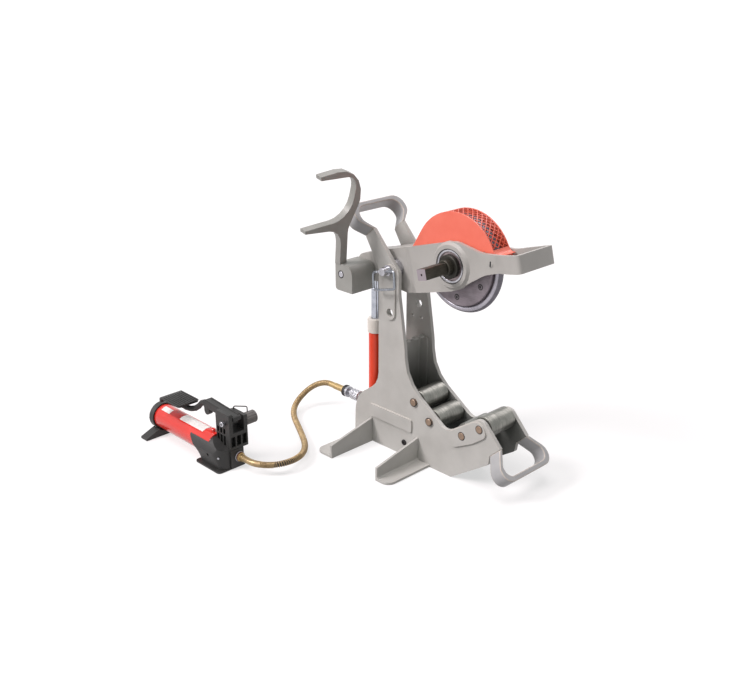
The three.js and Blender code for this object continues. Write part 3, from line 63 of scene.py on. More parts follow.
camera_data = bpy.data.cameras.new("camera")
camera_data.lens = FOCAL_MM
camera_data.sensor_width = SENSOR_MM
camera = bpy.data.objects.new("camera", camera_data)
camera.location = CAMERA_AT
camera.rotation_euler = CAMERA_AHEAD.to_track_quat("-Z", "Y").to_euler()
bpy.context.scene.collection.objects.link(camera)
bpy.context.scene.camera = camera
bpy.context.scene.view_settings.view_transform = "Standard"
print("camera", round(CAMERA_AT.length, 2), "m from the origin")

# %% [markdown]
# Every finish is a node material. The nodes could be placed by hand in the shader editor, but
# the finishes share most of their parts, so each part is a short function here. Colours are
# written as sRGB hex codes, and one function turns them into the linear values the shader wants.

# %% Node helpers
MIX_A = 6
MIX_B = 7
MIX_RESULT = 2


def linear(code):
    """sRGB hex to a linear colour."""
    parts = [int(code[at:at + 2], 16) / 255 for at in (1, 3, 5)]
    knee, slope, offset, power = 0.04045, 12.92, 0.055, 2.4
    return [part / slope if part <= knee else ((part + offset) / (1 + offset)) ** power
            for part in parts] + [1.0]


def add(tree, kind, values=None, **settings):
    """Adds a node. A value that is a socket is linked, and any other value is set."""
    node = tree.nodes.new(kind)
    for name, value in settings.items():
        setattr(node, name, value)
    for name, value in (values or {}).items():
        if isinstance(value, bpy.types.NodeSocket):
            tree.links.new(value, node.inputs[name])
        else:
            node.inputs[name].default_value = value
    return node


def maths(tree, operation, *values):
    """One step of arithmetic on sockets or numbers."""
    return add(tree, "ShaderNodeMath", dict(enumerate(values)), operation=operation).outputs[0]


def blank_material(name):
    """A material with only its output node left in the tree."""
    material = bpy.data.materials.new(name)
    material.use_nodes = True
    tree = material.node_tree
    tree.nodes.clear()
    return material, tree, add(tree, "ShaderNodeOutputMaterial")


print("sRGB mid grey is linear", round(linear("#808080")[0], 3))

# %% [markdown]
# Real surfaces are never one colour. Noise of the right size gives the mottle of paint or the
# stains on steel, and the same noise can drive roughness and bump, so that the three agree.

# %% Noise, colour and surface helpers
def noise_at(tree, vector, size, detail=3.0, rough=0.55):
    """Noise whose blotches are about that many metres across."""
    return add(tree, "ShaderNodeTexNoise", {
        "Vector": vector, "Scale": 1 / size, "Detail": detail, "Roughness": rough,
    }).outputs["Fac"]


def spread(tree, value, low, high, start=0.3, end=0.7):
    """Spreads a value that runs from start to end over low to high."""
    return add(tree, "ShaderNodeMapRange", {
        "Value": value, "From Min": start, "From Max": end, "To Min": low, "To Max": high,
    }).outputs["Result"]


def two_tone(tree, factor, dark, light):
    """Mixes two colours by a factor. Each is a hex code or a socket."""
    ends = {number: linear(tone) if isinstance(tone, str) else tone
            for number, tone in ((MIX_A, dark), (MIX_B, light))}
    mix = add(tree, "ShaderNodeMix", {"Factor": factor, **ends}, data_type="RGBA")
    return mix.outputs[MIX_RESULT]


def finish_shader(tree, output, values, height, depth):
    """The surface shader, with a bump of that depth in metres."""
    bump = add(tree, "ShaderNodeBump", {"Height": height, "Distance": depth, "Strength": 1.0})
    shader = add(tree, "ShaderNodeBsdfPrincipled", {**values, "Normal": bump.outputs["Normal"]})
    tree.links.new(shader.outputs["BSDF"], output.inputs["Surface"])


print("helpers for noise, colour and surface are ready")

# %% [markdown]
# Paint and moulded plastic both start from a base colour with a slow, faint mottle, and get
# their character from the skin. Powder coat on a casting has an orange peel of about 3 mm over
# the sand's own grain of about 1 mm. Spark-eroded tooling leaves a fine even grain on plastic.
# The grain is drawn a little coarser than the real one so that it shows at the render's size.
# The frame's inner faces are darkened low down, more and more toward the bottom: that is painted
# shade, for the shadow between the plates.

# %% Coated finishes
# Share, half width, top and bottom heights and dark tone of the painted shade on the frame's inner
# faces.
PAINTED_SHADE_SHARE = 0.85
FRAME_PAINTED_SHADE = (0.0413, 0.285, 0.16, "#4b4f4b")
COAT_SWING = 0.05


def with_painted_shade(tree, place, tone, half_width, top, bottom, shade_tone):
    """Paints shade: darkens a tone near the middle plane, more and more from the top height to the
    bottom.
    """
    split = add(tree, "ShaderNodeSeparateXYZ", {"Vector": place}).outputs
    off_middle = maths(tree, "ABSOLUTE", split["Y"])
    inside = maths(tree, "LESS_THAN", off_middle, half_width)
    down = spread(tree, split["Z"], 0.0, PAINTED_SHADE_SHARE, top, bottom)
    return two_tone(tree, maths(tree, "MULTIPLY", inside, down), tone, shade_tone)


def coated(name, dark, light, rough, mottle=0.05, peel=0.003, grain=0.0011, depth=0.00006,
           grime=None, extra=None):
    """Paint, enamel or moulded plastic. Sizes are in metres.

    Painted shade, if given, is (half width, top, bottom, colour), and extra is more of the shader's
    own values."""
    material, tree, output = blank_material(name)
    place = add(tree, "ShaderNodeTexCoord").outputs["Object"]
    cloud = noise_at(tree, place, mottle)
    skin = noise_at(tree, place, peel, detail=1.0)
    fine = noise_at(tree, place, grain, detail=2.0)
    height = maths(tree, "ADD", skin, fine)
    tone = two_tone(tree, spread(tree, cloud, 0.0, 1.0), dark, light)
    if grime:
        tone = with_painted_shade(tree, place, tone, *grime)
    finish_shader(tree, output, {
        "Base Color": tone,
        "Roughness": spread(tree, cloud, rough - COAT_SWING, rough + COAT_SWING),
        **(extra or {}),
    }, height, depth)
    return material


print("grime from", FRAME_PAINTED_SHADE[1], "m down to", FRAME_PAINTED_SHADE[2], "m")

# %% [markdown]
# The castings, the plates, the arm, the fork and the grips have the same grey coat, but the
# photograph shows each a little lighter or darker. So the arm, the fork and the grips get darker
# copies of it, the grips' a little bluer: painted shade, and on the grips painted reflection, for
# how the light falls on each. The plates' edges get a lighter, warmer tone: a painted highlight for
# the light their rounds catch, warmed as a thin coat is. On the grips' edges the coat is worn and
# warmer.

# %% Grey paints
casting_paint = coated("powder_coat_on_casting", "#b0b0ab", "#babab5", 0.44)
# The frame's copy carries the painted shade low on its inner faces.
frame_paint = coated("powder_coat_on_frame_painted_shade", "#b0b0ab", "#babab5", 0.44, grime=FRAME_PAINTED_SHADE)
# Darker copies of the coat for the arm, the fork and the grips: painted shade, and on the grips
# painted reflection.
arm_paint = coated("powder_coat_on_arm", "#a8a7a2", "#b1b0ab", 0.4, depth=0.00003)
fork_paint_shaded = coated("powder_coat_on_fork_shaded", "#94958f", "#9fa09b", 0.4, depth=0.00004)
grip_paint_shaded = coated("powder_coat_on_grip_shaded", "#9fa1a2", "#aaabab", 0.4, depth=0.00004)
# A lighter, warmer tone for the plates' rounds: painted highlight.
plate_edge_highlight = coated("thin_coat_edge_painted_highlight", "#bfb9b0", "#cdc7be", 0.42, mottle=0.012)
worn_edge = coated("worn_powder_coat_edge", "#aba59c", "#c3beb6", 0.5, mottle=0.012)
print(len(bpy.data.materials), "grey paints")

# %% [markdown]
# The guard, the cylinder and the tank are enamelled in three different reds. The guard's sides are
# drawn lighter and pinker than its mesh: painted sheen, for the soft reflection that washes out
# their orange. The tank is the glossiest, so it gets a thin clear coat over its colour.

# %% Enamels
# Lighter than the mesh's orange: painted sheen on the guard's sides.
guard_enamel_painted_sheen = coated("orange_enamel", "#ec6e57", "#f27b66", 0.4, peel=0.004, depth=0.00002)
mesh_enamel = coated("orange_enamel_on_mesh", "#d84a2e", "#e65c3e", 0.4, depth=0.00002)
cylinder_enamel = coated("red_orange_enamel", "#e53f20", "#ee4b2b", 0.33, depth=0.000012)
tank_enamel = coated("gloss_red_enamel", "#cf2a21", "#dc3329", 0.24, depth=0.000006,
                     extra={"Coat Weight": 0.35, "Coat Roughness": 0.08})
print(len(bpy.data.materials), "finishes with the enamels")

# %% [markdown]
# Nylon, rubber and vinyl use the same function: only the colour, the grain and its depth differ.

# %% Plastics, rubber and vinyl
collar_nylon = coated("cream_nylon", "#dfdad0", "#ebe7de", 0.5, mottle=0.02, depth=0.00002)
pump_nylon = coated("glass_filled_nylon", "#20201f", "#2b2b2a", 0.5, mottle=0.03,
                    peel=0.0016, grain=0.0008, depth=0.00009)
knob_nylon = coated("glass_filled_nylon_knob", "#666462", "#716f6c", 0.45, mottle=0.03,
                    peel=0.0016, grain=0.0008, depth=0.00006)
# Black for the real rubber parts, and also used as painted shade in gaps, sockets and slots.
black_rubber_and_shade = coated("black_rubber_and_painted_shade", "#1c1b1c", "#262527", 0.6, mottle=0.01, depth=0.00002)
label_vinyl = coated("blank_vinyl_label", "#dcd9d5", "#eceae6", 0.38, mottle=0.008,
                     depth=0.000004)
patch_vinyl = coated("dark_red_vinyl_patch", "#a81f1d", "#b52724", 0.38, mottle=0.008,
                     depth=0.000004)
print(len(bpy.data.materials), "finishes with the plastics")

# %% [markdown]
# On bare metal the lathe or the grinder leaves fine lines in one direction. An image of scratches
# could be mapped on, but noise needs no mapping: it is stretched along the cut, so that it is
# fine across it, and it drives colour, roughness and bump together. A metal's colour is its
# reflection, so metallic is 1 on clean plate and lower where a face is oxidised, oily or matt.

# %% Machined finishes
STAIN_SIZE = 0.018
PIT_SIZE = 0.006
PIT_START = 0.62
PIT_END = 0.7
LINE_START = 0.12
LINE_END = 0.4
LINE_ROUGHER = 0.07
LINE_SMOOTHER = 0.05


def machined(name, dark, light, rough, metallic=1.0, along="Y", line=0.0009, stretch=25.0,
             depth=0.000015, spots=None, cut_end=None):
    """Turned, ground or drawn metal with lines along the named axes. Sizes are in metres.

    spots is the colour of small pits, and cut_end is (Y place, colour): nearer than that place
    the metal is freshly cut."""
    material, tree, output = blank_material(name)
    place = add(tree, "ShaderNodeTexCoord").outputs["Object"]
    scale = [1.0 / stretch if axis in along else 1.0 for axis in "XYZ"]
    mapped = add(tree, "ShaderNodeMapping", {"Vector": place, "Scale": scale}).outputs["Vector"]
    lines = noise_at(tree, mapped, line, detail=2.0)
    stains = noise_at(tree, place, STAIN_SIZE, detail=4.0)
    both = maths(tree, "MULTIPLY", lines, stains)
    tone = two_tone(tree, spread(tree, both, 0.0, 1.0, LINE_START, LINE_END), dark, light)
    if spots:
        pits = noise_at(tree, place, PIT_SIZE, detail=5.0)
        tone = two_tone(tree, spread(tree, pits, 0.0, 1.0, PIT_START, PIT_END), tone, spots)
    if cut_end:
        across = add(tree, "ShaderNodeSeparateXYZ", {"Vector": place}).outputs["Y"]
        near = maths(tree, "LESS_THAN", across, cut_end[0])
        tone = two_tone(tree, near, tone, cut_end[1])
    finish_shader(tree, output, {
        "Base Color": tone,
        "Metallic": metallic,
        "Roughness": spread(tree, both, rough + LINE_ROUGHER, rough - LINE_SMOOTHER,
                            LINE_START, LINE_END),
    }, lines, depth)
    return material


print("pits are about", PIT_SIZE / MM, "mm across")

# %% [markdown]
# Chrome, zinc, iron and browned steel differ in colour, in roughness and in the direction of
# their lines. The iron of the rollers also has faint spots from the pipes that rolled on it.

# %% Metals of the stand
chrome = machined("hard_chrome", "#a3a8b2", "#c6cad3", 0.16, along="X", depth=0.000003)
zinc_plate = machined("bright_zinc_plate", "#98989d", "#c6c6cc", 0.26)
roller_iron = machined("turned_grey_iron", "#6c6d68", "#92928c", 0.36, metallic=0.8,
                       along="XZ", line=0.0016, depth=0.00003, spots="#7c7c76")
pin_steel = machined("browned_steel_pin", "#86715f", "#a38e7c", 0.42, metallic=0.55)
spring_wire = machined("bright_spring_wire", "#7e838a", "#a6aab1", 0.26, metallic=0.9)
screw_oxide = machined("black_oxide_screw", "#232122", "#343233", 0.4, metallic=0.7)
print(len(bpy.data.materials), "finishes with the stand's metals")

# %% [markdown]
# The wheel, its shaft and its bearings are steels of different grinds and oxides. The square end
# of the shaft is bright where it was sawn off.

# %% Steels of the wheel
SHAFT_FACE = -0.1283

shaft_oxide = machined("black_oxide_steel", "#34322b", "#4a473e", 0.42, metallic=0.6,
                       cut_end=(SHAFT_FACE, "#9c9399"))
shoulder_oxide = machined("black_oxide_shoulder", "#23221d", "#35332d", 0.42, metallic=0.5)
wheel_steel = machined("ground_tool_steel", "#a19fa8", "#bdbbc4", 0.34, metallic=0.5, along="X")
# The bevel is darker and duller than the shoulder: partly its own grind, partly painted shade for
# the dark inside of the guard that shows through the mesh.
wheel_bevel_shaded = machined("ground_tool_steel_bevel_shaded", "#64626a", "#817f87", 0.45, metallic=0.4,
                       along="X")
disc_steel = machined("phosphated_steel", "#7d757b", "#928a90", 0.5, metallic=0.45, along="X")
bearing_steel = machined("bearing_steel_shield", "#8a7d7e", "#a69a9c", 0.38, metallic=0.6)
print(len(bpy.data.materials), "finishes with the wheel's steels")

# %% [markdown]
# The hose's wire is plated yellow, its end fittings are dull brass, and the coupler's seal is
# copper. The wire has no cut lines, so its noise isn't stretched.

# %% Metals of the hose
hose_wire = machined("yellow_zinc_spring", "#8c7655", "#b59f76", 0.36, metallic=0.5,
                     line=0.004, stretch=1.0, depth=0.00002)
hose_brass = machined("dull_brass", "#a38a5c", "#cab384", 0.33, metallic=0.75)
seal_copper = machined("copper_seal_ring", "#5c3426", "#7d4a35", 0.4, metallic=0.6)
print(len(bpy.data.materials), "finishes in all")

# %% [markdown]
# The hose is a hydraulic line inside a spring guard. It is a cord: it leaves the pump level,
# drops to the ground in one slow bend, doubles back, and climbs into the coupler. A few points
# in millimetres, the same as in the CAD source, say where it goes.

# %% Hose route
HOSE_ROUTE = [
    (-287, -356, 28), (-264, -334, 27), (-255, -304, 25), (-260, -264, 21), (-281, -227, 16),
    (-317, -193, 12), (-360, -166, 8.5), (-412, -136, 8), (-464, -108, 7.5), (-495, -79, 15.5),
    (-503, -45, 33), (-493, -19, 53), (-471, -4, 66),
]
OUTLET_Y = -361.5
OUTLET_Z = 28
COUPLER_Z = 70
HOSE_TOUCH = 0.3 * MM
HOSE_PLAIN = 0.017
HOSE_LEAD = 0.010

outlet_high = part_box("outlet_ferrule")[1]
ferrule_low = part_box("hose_ferrule")[0]
hose_start = Vector((outlet_high.x + HOSE_TOUCH, OUTLET_Y * MM, OUTLET_Z * MM))
hose_end = Vector((ferrule_low.x - HOSE_TOUCH, 0, COUPLER_Z * MM))
ahead = Vector((1, 0, 0))
controls = [hose_start + ahead * HOSE_PLAIN, hose_start + ahead * (HOSE_PLAIN + HOSE_LEAD)]
controls += [Vector(point) * MM for point in HOSE_ROUTE]
controls += [hose_end - ahead * (HOSE_PLAIN + HOSE_LEAD), hose_end - ahead * HOSE_PLAIN]
print("route with", len(controls), "control points")

# %% [markdown]
# Straight pieces between the points would show corners. A B-spline runs smoothly beside its
# control points, which is how a stiff hose bends, and its ends stay straight for the fittings.
# The line is then walked at an even step, so that places along it can be counted in metres.

# %% Hose line
CURVE_STEPS = 1200
LINE_STEP = 0.001


def smooth_curve(controls, count):
    """Points of a clamped cubic B-spline, by de Boor's rule."""
    degree = 3
    spans = len(controls) - degree
    knots = [0.0] * degree + [float(knot) for knot in range(spans + 1)] + [float(spans)] * degree
    points = []
    for step in range(count + 1):
        at = spans * step / count
        first = min(int(at), spans - 1)
        work = [controls[first + index].copy() for index in range(degree + 1)]
        for level in range(1, degree + 1):
            for index in range(degree, level - 1, -1):
                low = knots[first + index]
                high = knots[first + index + 1 + degree - level]
                share = (at - low) / (high - low)
                work[index] = work[index - 1].lerp(work[index], share)
        points.append(work[degree])
    return points


def even_points(points, step):
    """The same line, walked at an even step. Returns the points and the line's length."""
    lengths = [(b - a).length for a, b in zip(points, points[1:])]
    total = sum(lengths)
    count = round(total / step)
    walked, index, before = [], 0, 0.0
    for number in range(count + 1):
        goal = total * number / count
        while index < len(lengths) - 1 and before + lengths[index] < goal:
            before += lengths[index]
            index += 1
        walked.append(points[index].lerp(points[index + 1], (goal - before) / lengths[index]))
    return walked, total


hose_line, hose_length = even_points(
    [hose_start] + smooth_curve(controls, CURVE_STEPS) + [hose_end], LINE_STEP)
print("hose length", round(hose_length, 4))

# %% [markdown]
# The rubber of the hose is the part that bends and has the length. A curve with a round bevel is
# used for it, because it is smooth all round and its one spline can be measured, where a mesh tube
# would need its path given beside it.

# %% Hose core
CORE_RADIUS = 0.0058


def round_line(name, points, radius, finish, sides=6):
    """A round bar along a line of points, as a curve."""
    curve = bpy.data.curves.new(name, "CURVE")
    curve.dimensions = "3D"
    curve.bevel_depth = radius
    curve.bevel_resolution = sides
    curve.use_fill_caps = True
    spline = curve.splines.new("POLY")
    spline.points.add(len(points) - 1)
    for point, place in zip(spline.points, points):
        point.co = (*place, 1)
    curve.materials.append(finish)
    piece = bpy.data.objects.new(name, curve)
    bpy.context.scene.collection.objects.link(piece)
    return piece


hose = round_line("hose_rubber_core", hose_line, CORE_RADIUS, black_rubber_and_shade)
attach(hose, "frame")
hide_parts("hose")
print("hose core", round(2 * CORE_RADIUS / MM, 1), "mm across")

# %% [markdown]
# The guard is one wire wound round the hose. It is wound close, except in the bend near the pump,
# where the turns have opened and the black rubber shows between them. Rings side by side would
# look alike from afar, but only a real helix opens as this one does. Its line is walked along
# the hose with side directions that never twist, and the pitch says how fast it goes round.

# %% Wound wire
HOSE_RADIUS = 0.0076
WIRE_RADIUS = 0.0011
CLOSE_PITCH = 0.0022
OPEN_PITCH = 0.0056
OPEN_START = 0.078
OPEN_END = 0.150
OPEN_FADE = 0.012
CLOSE_FADE = 0.06
TURN_SIDES = 14
SLEEVE_END = 0.052
SLEEVE_LAP = 0.004


def guard_pitch(along):
    """How far the wire goes along the hose in one turn."""
    opening = min(max((along - OPEN_START) / OPEN_FADE, 0.0), 1.0)
    closing = min(max((OPEN_END + CLOSE_FADE / 2 - along) / CLOSE_FADE, 0.0), 1.0)
    return CLOSE_PITCH + (OPEN_PITCH - CLOSE_PITCH) * opening * closing


def wound_wire(points, total, start, end, radius):
    """A helix round a line of even points, from start to end along it."""
    step = total / (len(points) - 1)
    side = Vector((0, 0, 1))
    frames = []
    for here, there in zip(points, points[1:] + [points[-1] * 2 - points[-2]]):
        heading = (there - here).normalized()
        side = (side - heading * side.dot(heading)).normalized()
        frames.append((side.copy(), heading.cross(side)))
    wire, along, turn = [], start, 0.0
    while along < end:
        index = min(int(along / step), len(points) - 2)
        place = points[index].lerp(points[index + 1], along / step - index)
        first, second = frames[index]
        wire.append(place + first * (radius * math.cos(turn)) + second * (radius * math.sin(turn)))
        along += guard_pitch(along) / TURN_SIDES
        turn += 2 * math.pi / TURN_SIDES
    return wire


wire_line = wound_wire(hose_line, hose_length, SLEEVE_END - SLEEVE_LAP, hose_length - HOSE_PLAIN,
                       HOSE_RADIUS - WIRE_RADIUS)
print("spring guard", len(wire_line) // TURN_SIDES, "turns")

# %% [markdown]
# A plain sleeve covers the wire's end at the pump, and a brass one covers it at the coupler. The
# wire and both sleeves lie on the hose, and ride on the frame with it.

# %% Spring guard and sleeves
spring_guard = round_line("hose_spring_guard", wire_line, WIRE_RADIUS, hose_wire, sides=1)
sleeve_points = [place for number, place in enumerate(hose_line)
                 if number * LINE_STEP < SLEEVE_END]
hose_sleeve = round_line("hose_end_sleeve", sleeve_points, HOSE_RADIUS, hose_wire, sides=8)
plug_points = [place for number, place in enumerate(hose_line)
               if hose_length - number * LINE_STEP < HOSE_PLAIN]
plug_sleeve = round_line("hose_plug_sleeve", plug_points, HOSE_RADIUS, hose_brass, sides=8)
for piece in (spring_guard, hose_sleeve, plug_sleeve):
    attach(piece, "frame")
print("sleeves from", len(sleeve_points), "and", len(plug_points), "points")

# %% [markdown]
# A cast or cut edge is never knife sharp: it carries a small round that catches the light. The CAD
# bodies have sharp edges. A shader can fake the round with a bevel node, but the outline would stay
# sharp, so each body is welded, its flat triangles are merged, and a bevel modifier rounds every
# edge that turns by more than a curve's own facets do. The round's faces can take a second
# material: where paint wears first, or a lighter one as a painted highlight for the light the round
# catches.

# %% Dress one node
FACET_TURN = math.radians(31)
FLAT_TURN = math.radians(1.0)
WELD = 0.00001


def repaint(node, finish):
    """Gives a node's mesh that finish in place of its own."""
    mesh = nodes[node].data
    mesh.materials.clear()
    mesh.materials.append(finish)
    return mesh


def dress(node, finish, width, edge=None, segments=2):
    """Gives a CAD node its finish and rounds its edges."""
    mesh = repaint(node, finish)
    if edge:
        mesh.materials.append(edge)
    mesh.polygons.foreach_set("use_smooth", [True] * len(mesh.polygons))
    if "custom_normal" in mesh.attributes:
        mesh.attributes.remove(mesh.attributes["custom_normal"])
    weld = nodes[node].modifiers.new("weld", "WELD")
    weld.merge_threshold = WELD
    flat = nodes[node].modifiers.new("merge_flats", "DECIMATE")
    flat.decimate_type = "DISSOLVE"
    flat.angle_limit = FLAT_TURN
    bevel = nodes[node].modifiers.new("round_edges", "BEVEL")
    bevel.width = width
    bevel.segments = segments
    bevel.limit_method = "ANGLE"
    bevel.angle_limit = FACET_TURN
    bevel.harden_normals = True
    bevel.material = 1 if edge else -1


print("edges that turn by more than", round(math.degrees(FACET_TURN)), "degrees are rounded")

# %% [markdown]
# A table says which finish and which round each node gets. Cast and bent parts have wide rounds,
# moulded ones less, and plated, ground or drawn ones only a hint.

# %% Dress the CAD nodes
DRESSES = [
    (casting_paint, 0.8 * MM, ["rear_foot", "front_foot", "cylinder_bracket"]),
    (frame_paint, 0.8 * MM, ["rear_web_channel", "base_cross_plate"]),
    (arm_paint, 2.2 * MM, ["cutter_arm"]),
    (fork_paint_shaded, 1.5 * MM, ["support_arm"]),
    (guard_enamel_painted_sheen, 0.5 * MM, ["wheel_guard"]),
    (cylinder_enamel, 0.8 * MM, ["lift_cylinder_tube"]),
    (collar_nylon, 0.8 * MM, ["cylinder_collar"]),
    (chrome, 0.4 * MM, ["lift_rod"]),
    (zinc_plate, 0.4 * MM, [
        "rod_eye", "tail_pin", "cylinder_pin", "pivot_pin", "port_nipple", "coupler_body",
        "coupler_sleeve", "lever_pin", "pump_plunger", "near_pivot_spacer",
        "far_pivot_spacer", "near_snap_ring", "far_snap_ring"]),
    (pin_steel, 0.8 * MM, ["rear_outer_roller_pin", "rear_inner_roller_pin",
                           "front_inner_roller_pin", "front_outer_roller_pin"]),
    (roller_iron, 0.6 * MM, ["rear_outer_roller", "rear_inner_roller", "front_inner_roller",
                             "front_outer_roller"]),
    (shaft_oxide, 0.5 * MM, ["drive_shaft"]),
    (disc_steel, 0.8 * MM, ["near_wheel_disc", "far_wheel_disc"]),
    (bearing_steel, 0.5 * MM, ["near_hub_bearing", "far_hub_bearing"]),
    (screw_oxide, 0.4 * MM, ["pedal_latch"]),
    (hose_brass, 0.5 * MM, ["hose_ferrule", "outlet_ferrule"]),
    (tank_enamel, 0.6 * MM, ["pump_tank", "tank_filler"]),
    (pump_nylon, 0.8 * MM, ["pump_end_cap", "pump_rear_foot", "pump_base_plate", "pump_body",
                            "pump_upright", "pump_lever", "foot_pedal"]),
    (knob_nylon, 0.5 * MM, ["release_knob"]),
]
for finish, width, names in DRESSES:
    for name in names:
        dress(name, finish, width)
print("dressed", sum(len(names) for _, _, names in DRESSES), "nodes")

# %% [markdown]
# The side plates and the two grips have rounds of their own finish: the plates' rounds are lighter
# and warmer, a painted highlight with the warmer tone of a thin coat, and hands have worn the
# grips. The guard's mesh only changes its paint, because a bevel on so many thin strands would cost
# more faces than it shows.

# %% Edges with their own finish
for name in ("near_side_plate", "far_side_plate"):
    dress(name, frame_paint, 1.3 * MM, edge=plate_edge_highlight)
for name in ("top_handle", "front_handle"):
    dress(name, grip_paint_shaded, 2.0 * MM, edge=worn_edge, segments=3)
repaint("guard_mesh", mesh_enamel)
print("guard mesh keeps its", len(nodes["guard_mesh"].data.polygons), "faces")

# %% [markdown]
# The bail is bent from spring wire. In the CAD model the wire has few sides, so here it is
# smoothed by a subdivision. That draws the wire thinner, so it is pushed out along its normals
# until the round wire is about as thick as in the photograph.

# %% Bail wire
WIRE_LEVELS = 2
WIRE_FULLER = 1.3 * MM

bail = nodes["pin_bail"]
bail_mesh = repaint("pin_bail", spring_wire)
bail_mesh.polygons.foreach_set("use_smooth", [True] * len(bail_mesh.polygons))
bail.modifiers.new("weld", "WELD").merge_threshold = WELD
round_wire = bail.modifiers.new("round_wire", "SUBSURF")
round_wire.levels = WIRE_LEVELS
round_wire.render_levels = WIRE_LEVELS
fuller = bail.modifiers.new("fuller_wire", "DISPLACE")
fuller.strength = WIRE_FULLER
fuller.mid_level = 0.0
print("bail wire from", len(bail_mesh.polygons), "faces")

# %% [markdown]
# Each small piece that the CAD model lacks is drawn as a bmesh, becomes an object of its own, and
# is tied to the body that it moves with. One function does this for all of them, so that none
# is left behind when a joint moves. Its curved faces are shaded smooth, up to a sharp turn.

# %% Pieces that ride on a body
SHARP_TURN = math.radians(35)


def own_piece(name, shape, finishes, body):
    """Makes an object of a bmesh that rides on a body."""
    data = bpy.data.meshes.new(name)
    shape.to_mesh(data)
    shape.free()
    for finish in finishes:
        data.materials.append(finish)
    data.polygons.foreach_set("use_smooth", [True] * len(data.polygons))
    data.set_sharp_from_angle(angle=SHARP_TURN)
    piece = bpy.data.objects.new(name, data)
    bpy.context.scene.collection.objects.link(piece)
    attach(piece, body)
    return piece


print("turns of more than", round(math.degrees(SHARP_TURN)), "degrees stay sharp")

# %% [markdown]
# Small round pieces are made as on a lathe: half an outline is drawn and spun about its own axis.
# Stacked cylinders would be quicker, but a turned outline gives the chamfers and grooves too. An
# outline point is radius, place along the axis and the number of the finish from there on, with
# lengths in millimetres. The same small piece may be set at several spots.

# %% Turned pieces
NEAR = (0, -1, 0)
FAR = (0, 1, 0)
UP = (0, 0, 1)
FRONT = (1, 0, 0)
SIDES = (("near", NEAR), ("far", FAR))


def lathe(outline, steps):
    """Spins an outline about Z, and gives each face the finish of its stretch."""
    shape = bmesh.new()
    corners = [shape.verts.new((radius * MM, 0, along * MM)) for radius, along, _ in outline]
    edges = [shape.edges.new(pair) for pair in zip(corners, corners[1:])]
    bmesh.ops.spin(shape, geom=corners + edges, cent=(0, 0, 0), axis=(0, 0, 1), dvec=(0, 0, 0),
                   angle=2 * math.pi, steps=steps, use_merge=True)
    bmesh.ops.remove_doubles(shape, verts=shape.verts, dist=WELD)
    bmesh.ops.recalc_face_normals(shape, faces=shape.faces)
    bands = [((a[0] + b[0]) / 2, (a[1] + b[1]) / 2, a[2]) for a, b in zip(outline, outline[1:])]
    for face in shape.faces:
        reach = [vert.co.xy.length / MM for vert in face.verts]
        radius = (min(reach) + max(reach)) / 2
        rise = [vert.co.z / MM for vert in face.verts]
        along = (min(rise) + max(rise)) / 2
        face.material_index = min(
            bands, key=lambda band: abs(band[0] - radius) + abs(band[1] - along))[2]
    return shape


def turned(name, outline, finishes, spots, toward, body, steps=40):
    """Turns an outline, and sets a copy with its axis along toward at each spot."""
    shape = lathe(outline, steps)
    first = shape.verts[:] + shape.edges[:] + shape.faces[:]
    turn = Vector(toward).to_track_quat("Z", "Y").to_matrix().to_4x4()
    for spot in spots:
        copied = bmesh.ops.duplicate(shape, geom=first)["geom"]
        verts = [part for part in copied if isinstance(part, bmesh.types.BMVert)]
        bmesh.ops.transform(shape, matrix=Matrix.Translation(Vector(spot) * MM) @ turn,
                            verts=verts)
    bmesh.ops.delete(shape, geom=[part for part in first
                                  if isinstance(part, bmesh.types.BMVert)], context="VERTS")
    return own_piece(name, shape, finishes, body)


print("small pieces are set on the sides", [side for side, _ in SIDES])

# %% [markdown]
# The cutting wheel is a tool-steel ring between two bolted discs. The CAD model has a plain
# double cone, so the ring is turned again here with the real section: a groove beside the disc,
# a full round shoulder, and a ground bevel down to the edge that rolls into the pipe. Half of
# the section is drawn, and the other half is its mirror image.

# %% Cutting wheel
HUB_X = -10.15
HUB_Z = 486.4
BORE = 24.6
WHEEL_FACE = 10.0
WHEEL_STEPS = 128
WHEEL_HALF = [(BORE, WHEEL_FACE, 0), (92.0, 10.0, 0), (92.8, 5.0, 0), (93.8, 5.0, 1),
              (94.8, 7.8, 1), (96.8, 9.5, 1), (99.5, 10.0, 1), (102.6, 9.6, 1), (104.6, 8.4, 2),
              (107.4, 5.2, 2), (108.8, 2.4, 2), (109.5, 0.25, 2)]

wheel_outline = [(radius, -along, band) for radius, along, band in WHEEL_HALF]
wheel_outline += [(radius, along, band) for (radius, along, _), (_, _, band)
                  in zip(reversed(WHEEL_HALF), reversed(WHEEL_HALF[:-1]))]
wheel_outline += [(BORE, WHEEL_FACE, 0), (BORE, -WHEEL_FACE, 0)]
wheel_ring = turned("cutting_wheel_ring", wheel_outline, [disc_steel, wheel_steel, wheel_bevel_shaded],
                    [(HUB_X, 0, HUB_Z)], FAR, "spindle", steps=WHEEL_STEPS)
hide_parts("cutter_wheel")
print("wheel ring", len(wheel_ring.data.polygons), "faces")

# %% [markdown]
# Six screws in a circle hold each disc. A screw is a bright rim round a dark socket, set in a dark
# countersink: the black of the socket and the countersink is painted shade, for the shadow down in
# them. One screw is turned and set at six angles, because drawing it six times would only invite
# mistakes.

# %% Disc screws
SCREW = [(0, -0.5, 0), (6.8, -0.5, 0), (6.8, 0.12, 0), (4.4, 0.12, 1), (4.0, 0.7, 1),
         (2.9, 0.7, 0), (2.7, 0.15, 0), (0, 0.15, 0)]
SCREW_CIRCLE = 73.5
SCREW_ANGLES = range(-90, 270, 60)
DISC_FACE = 15.5

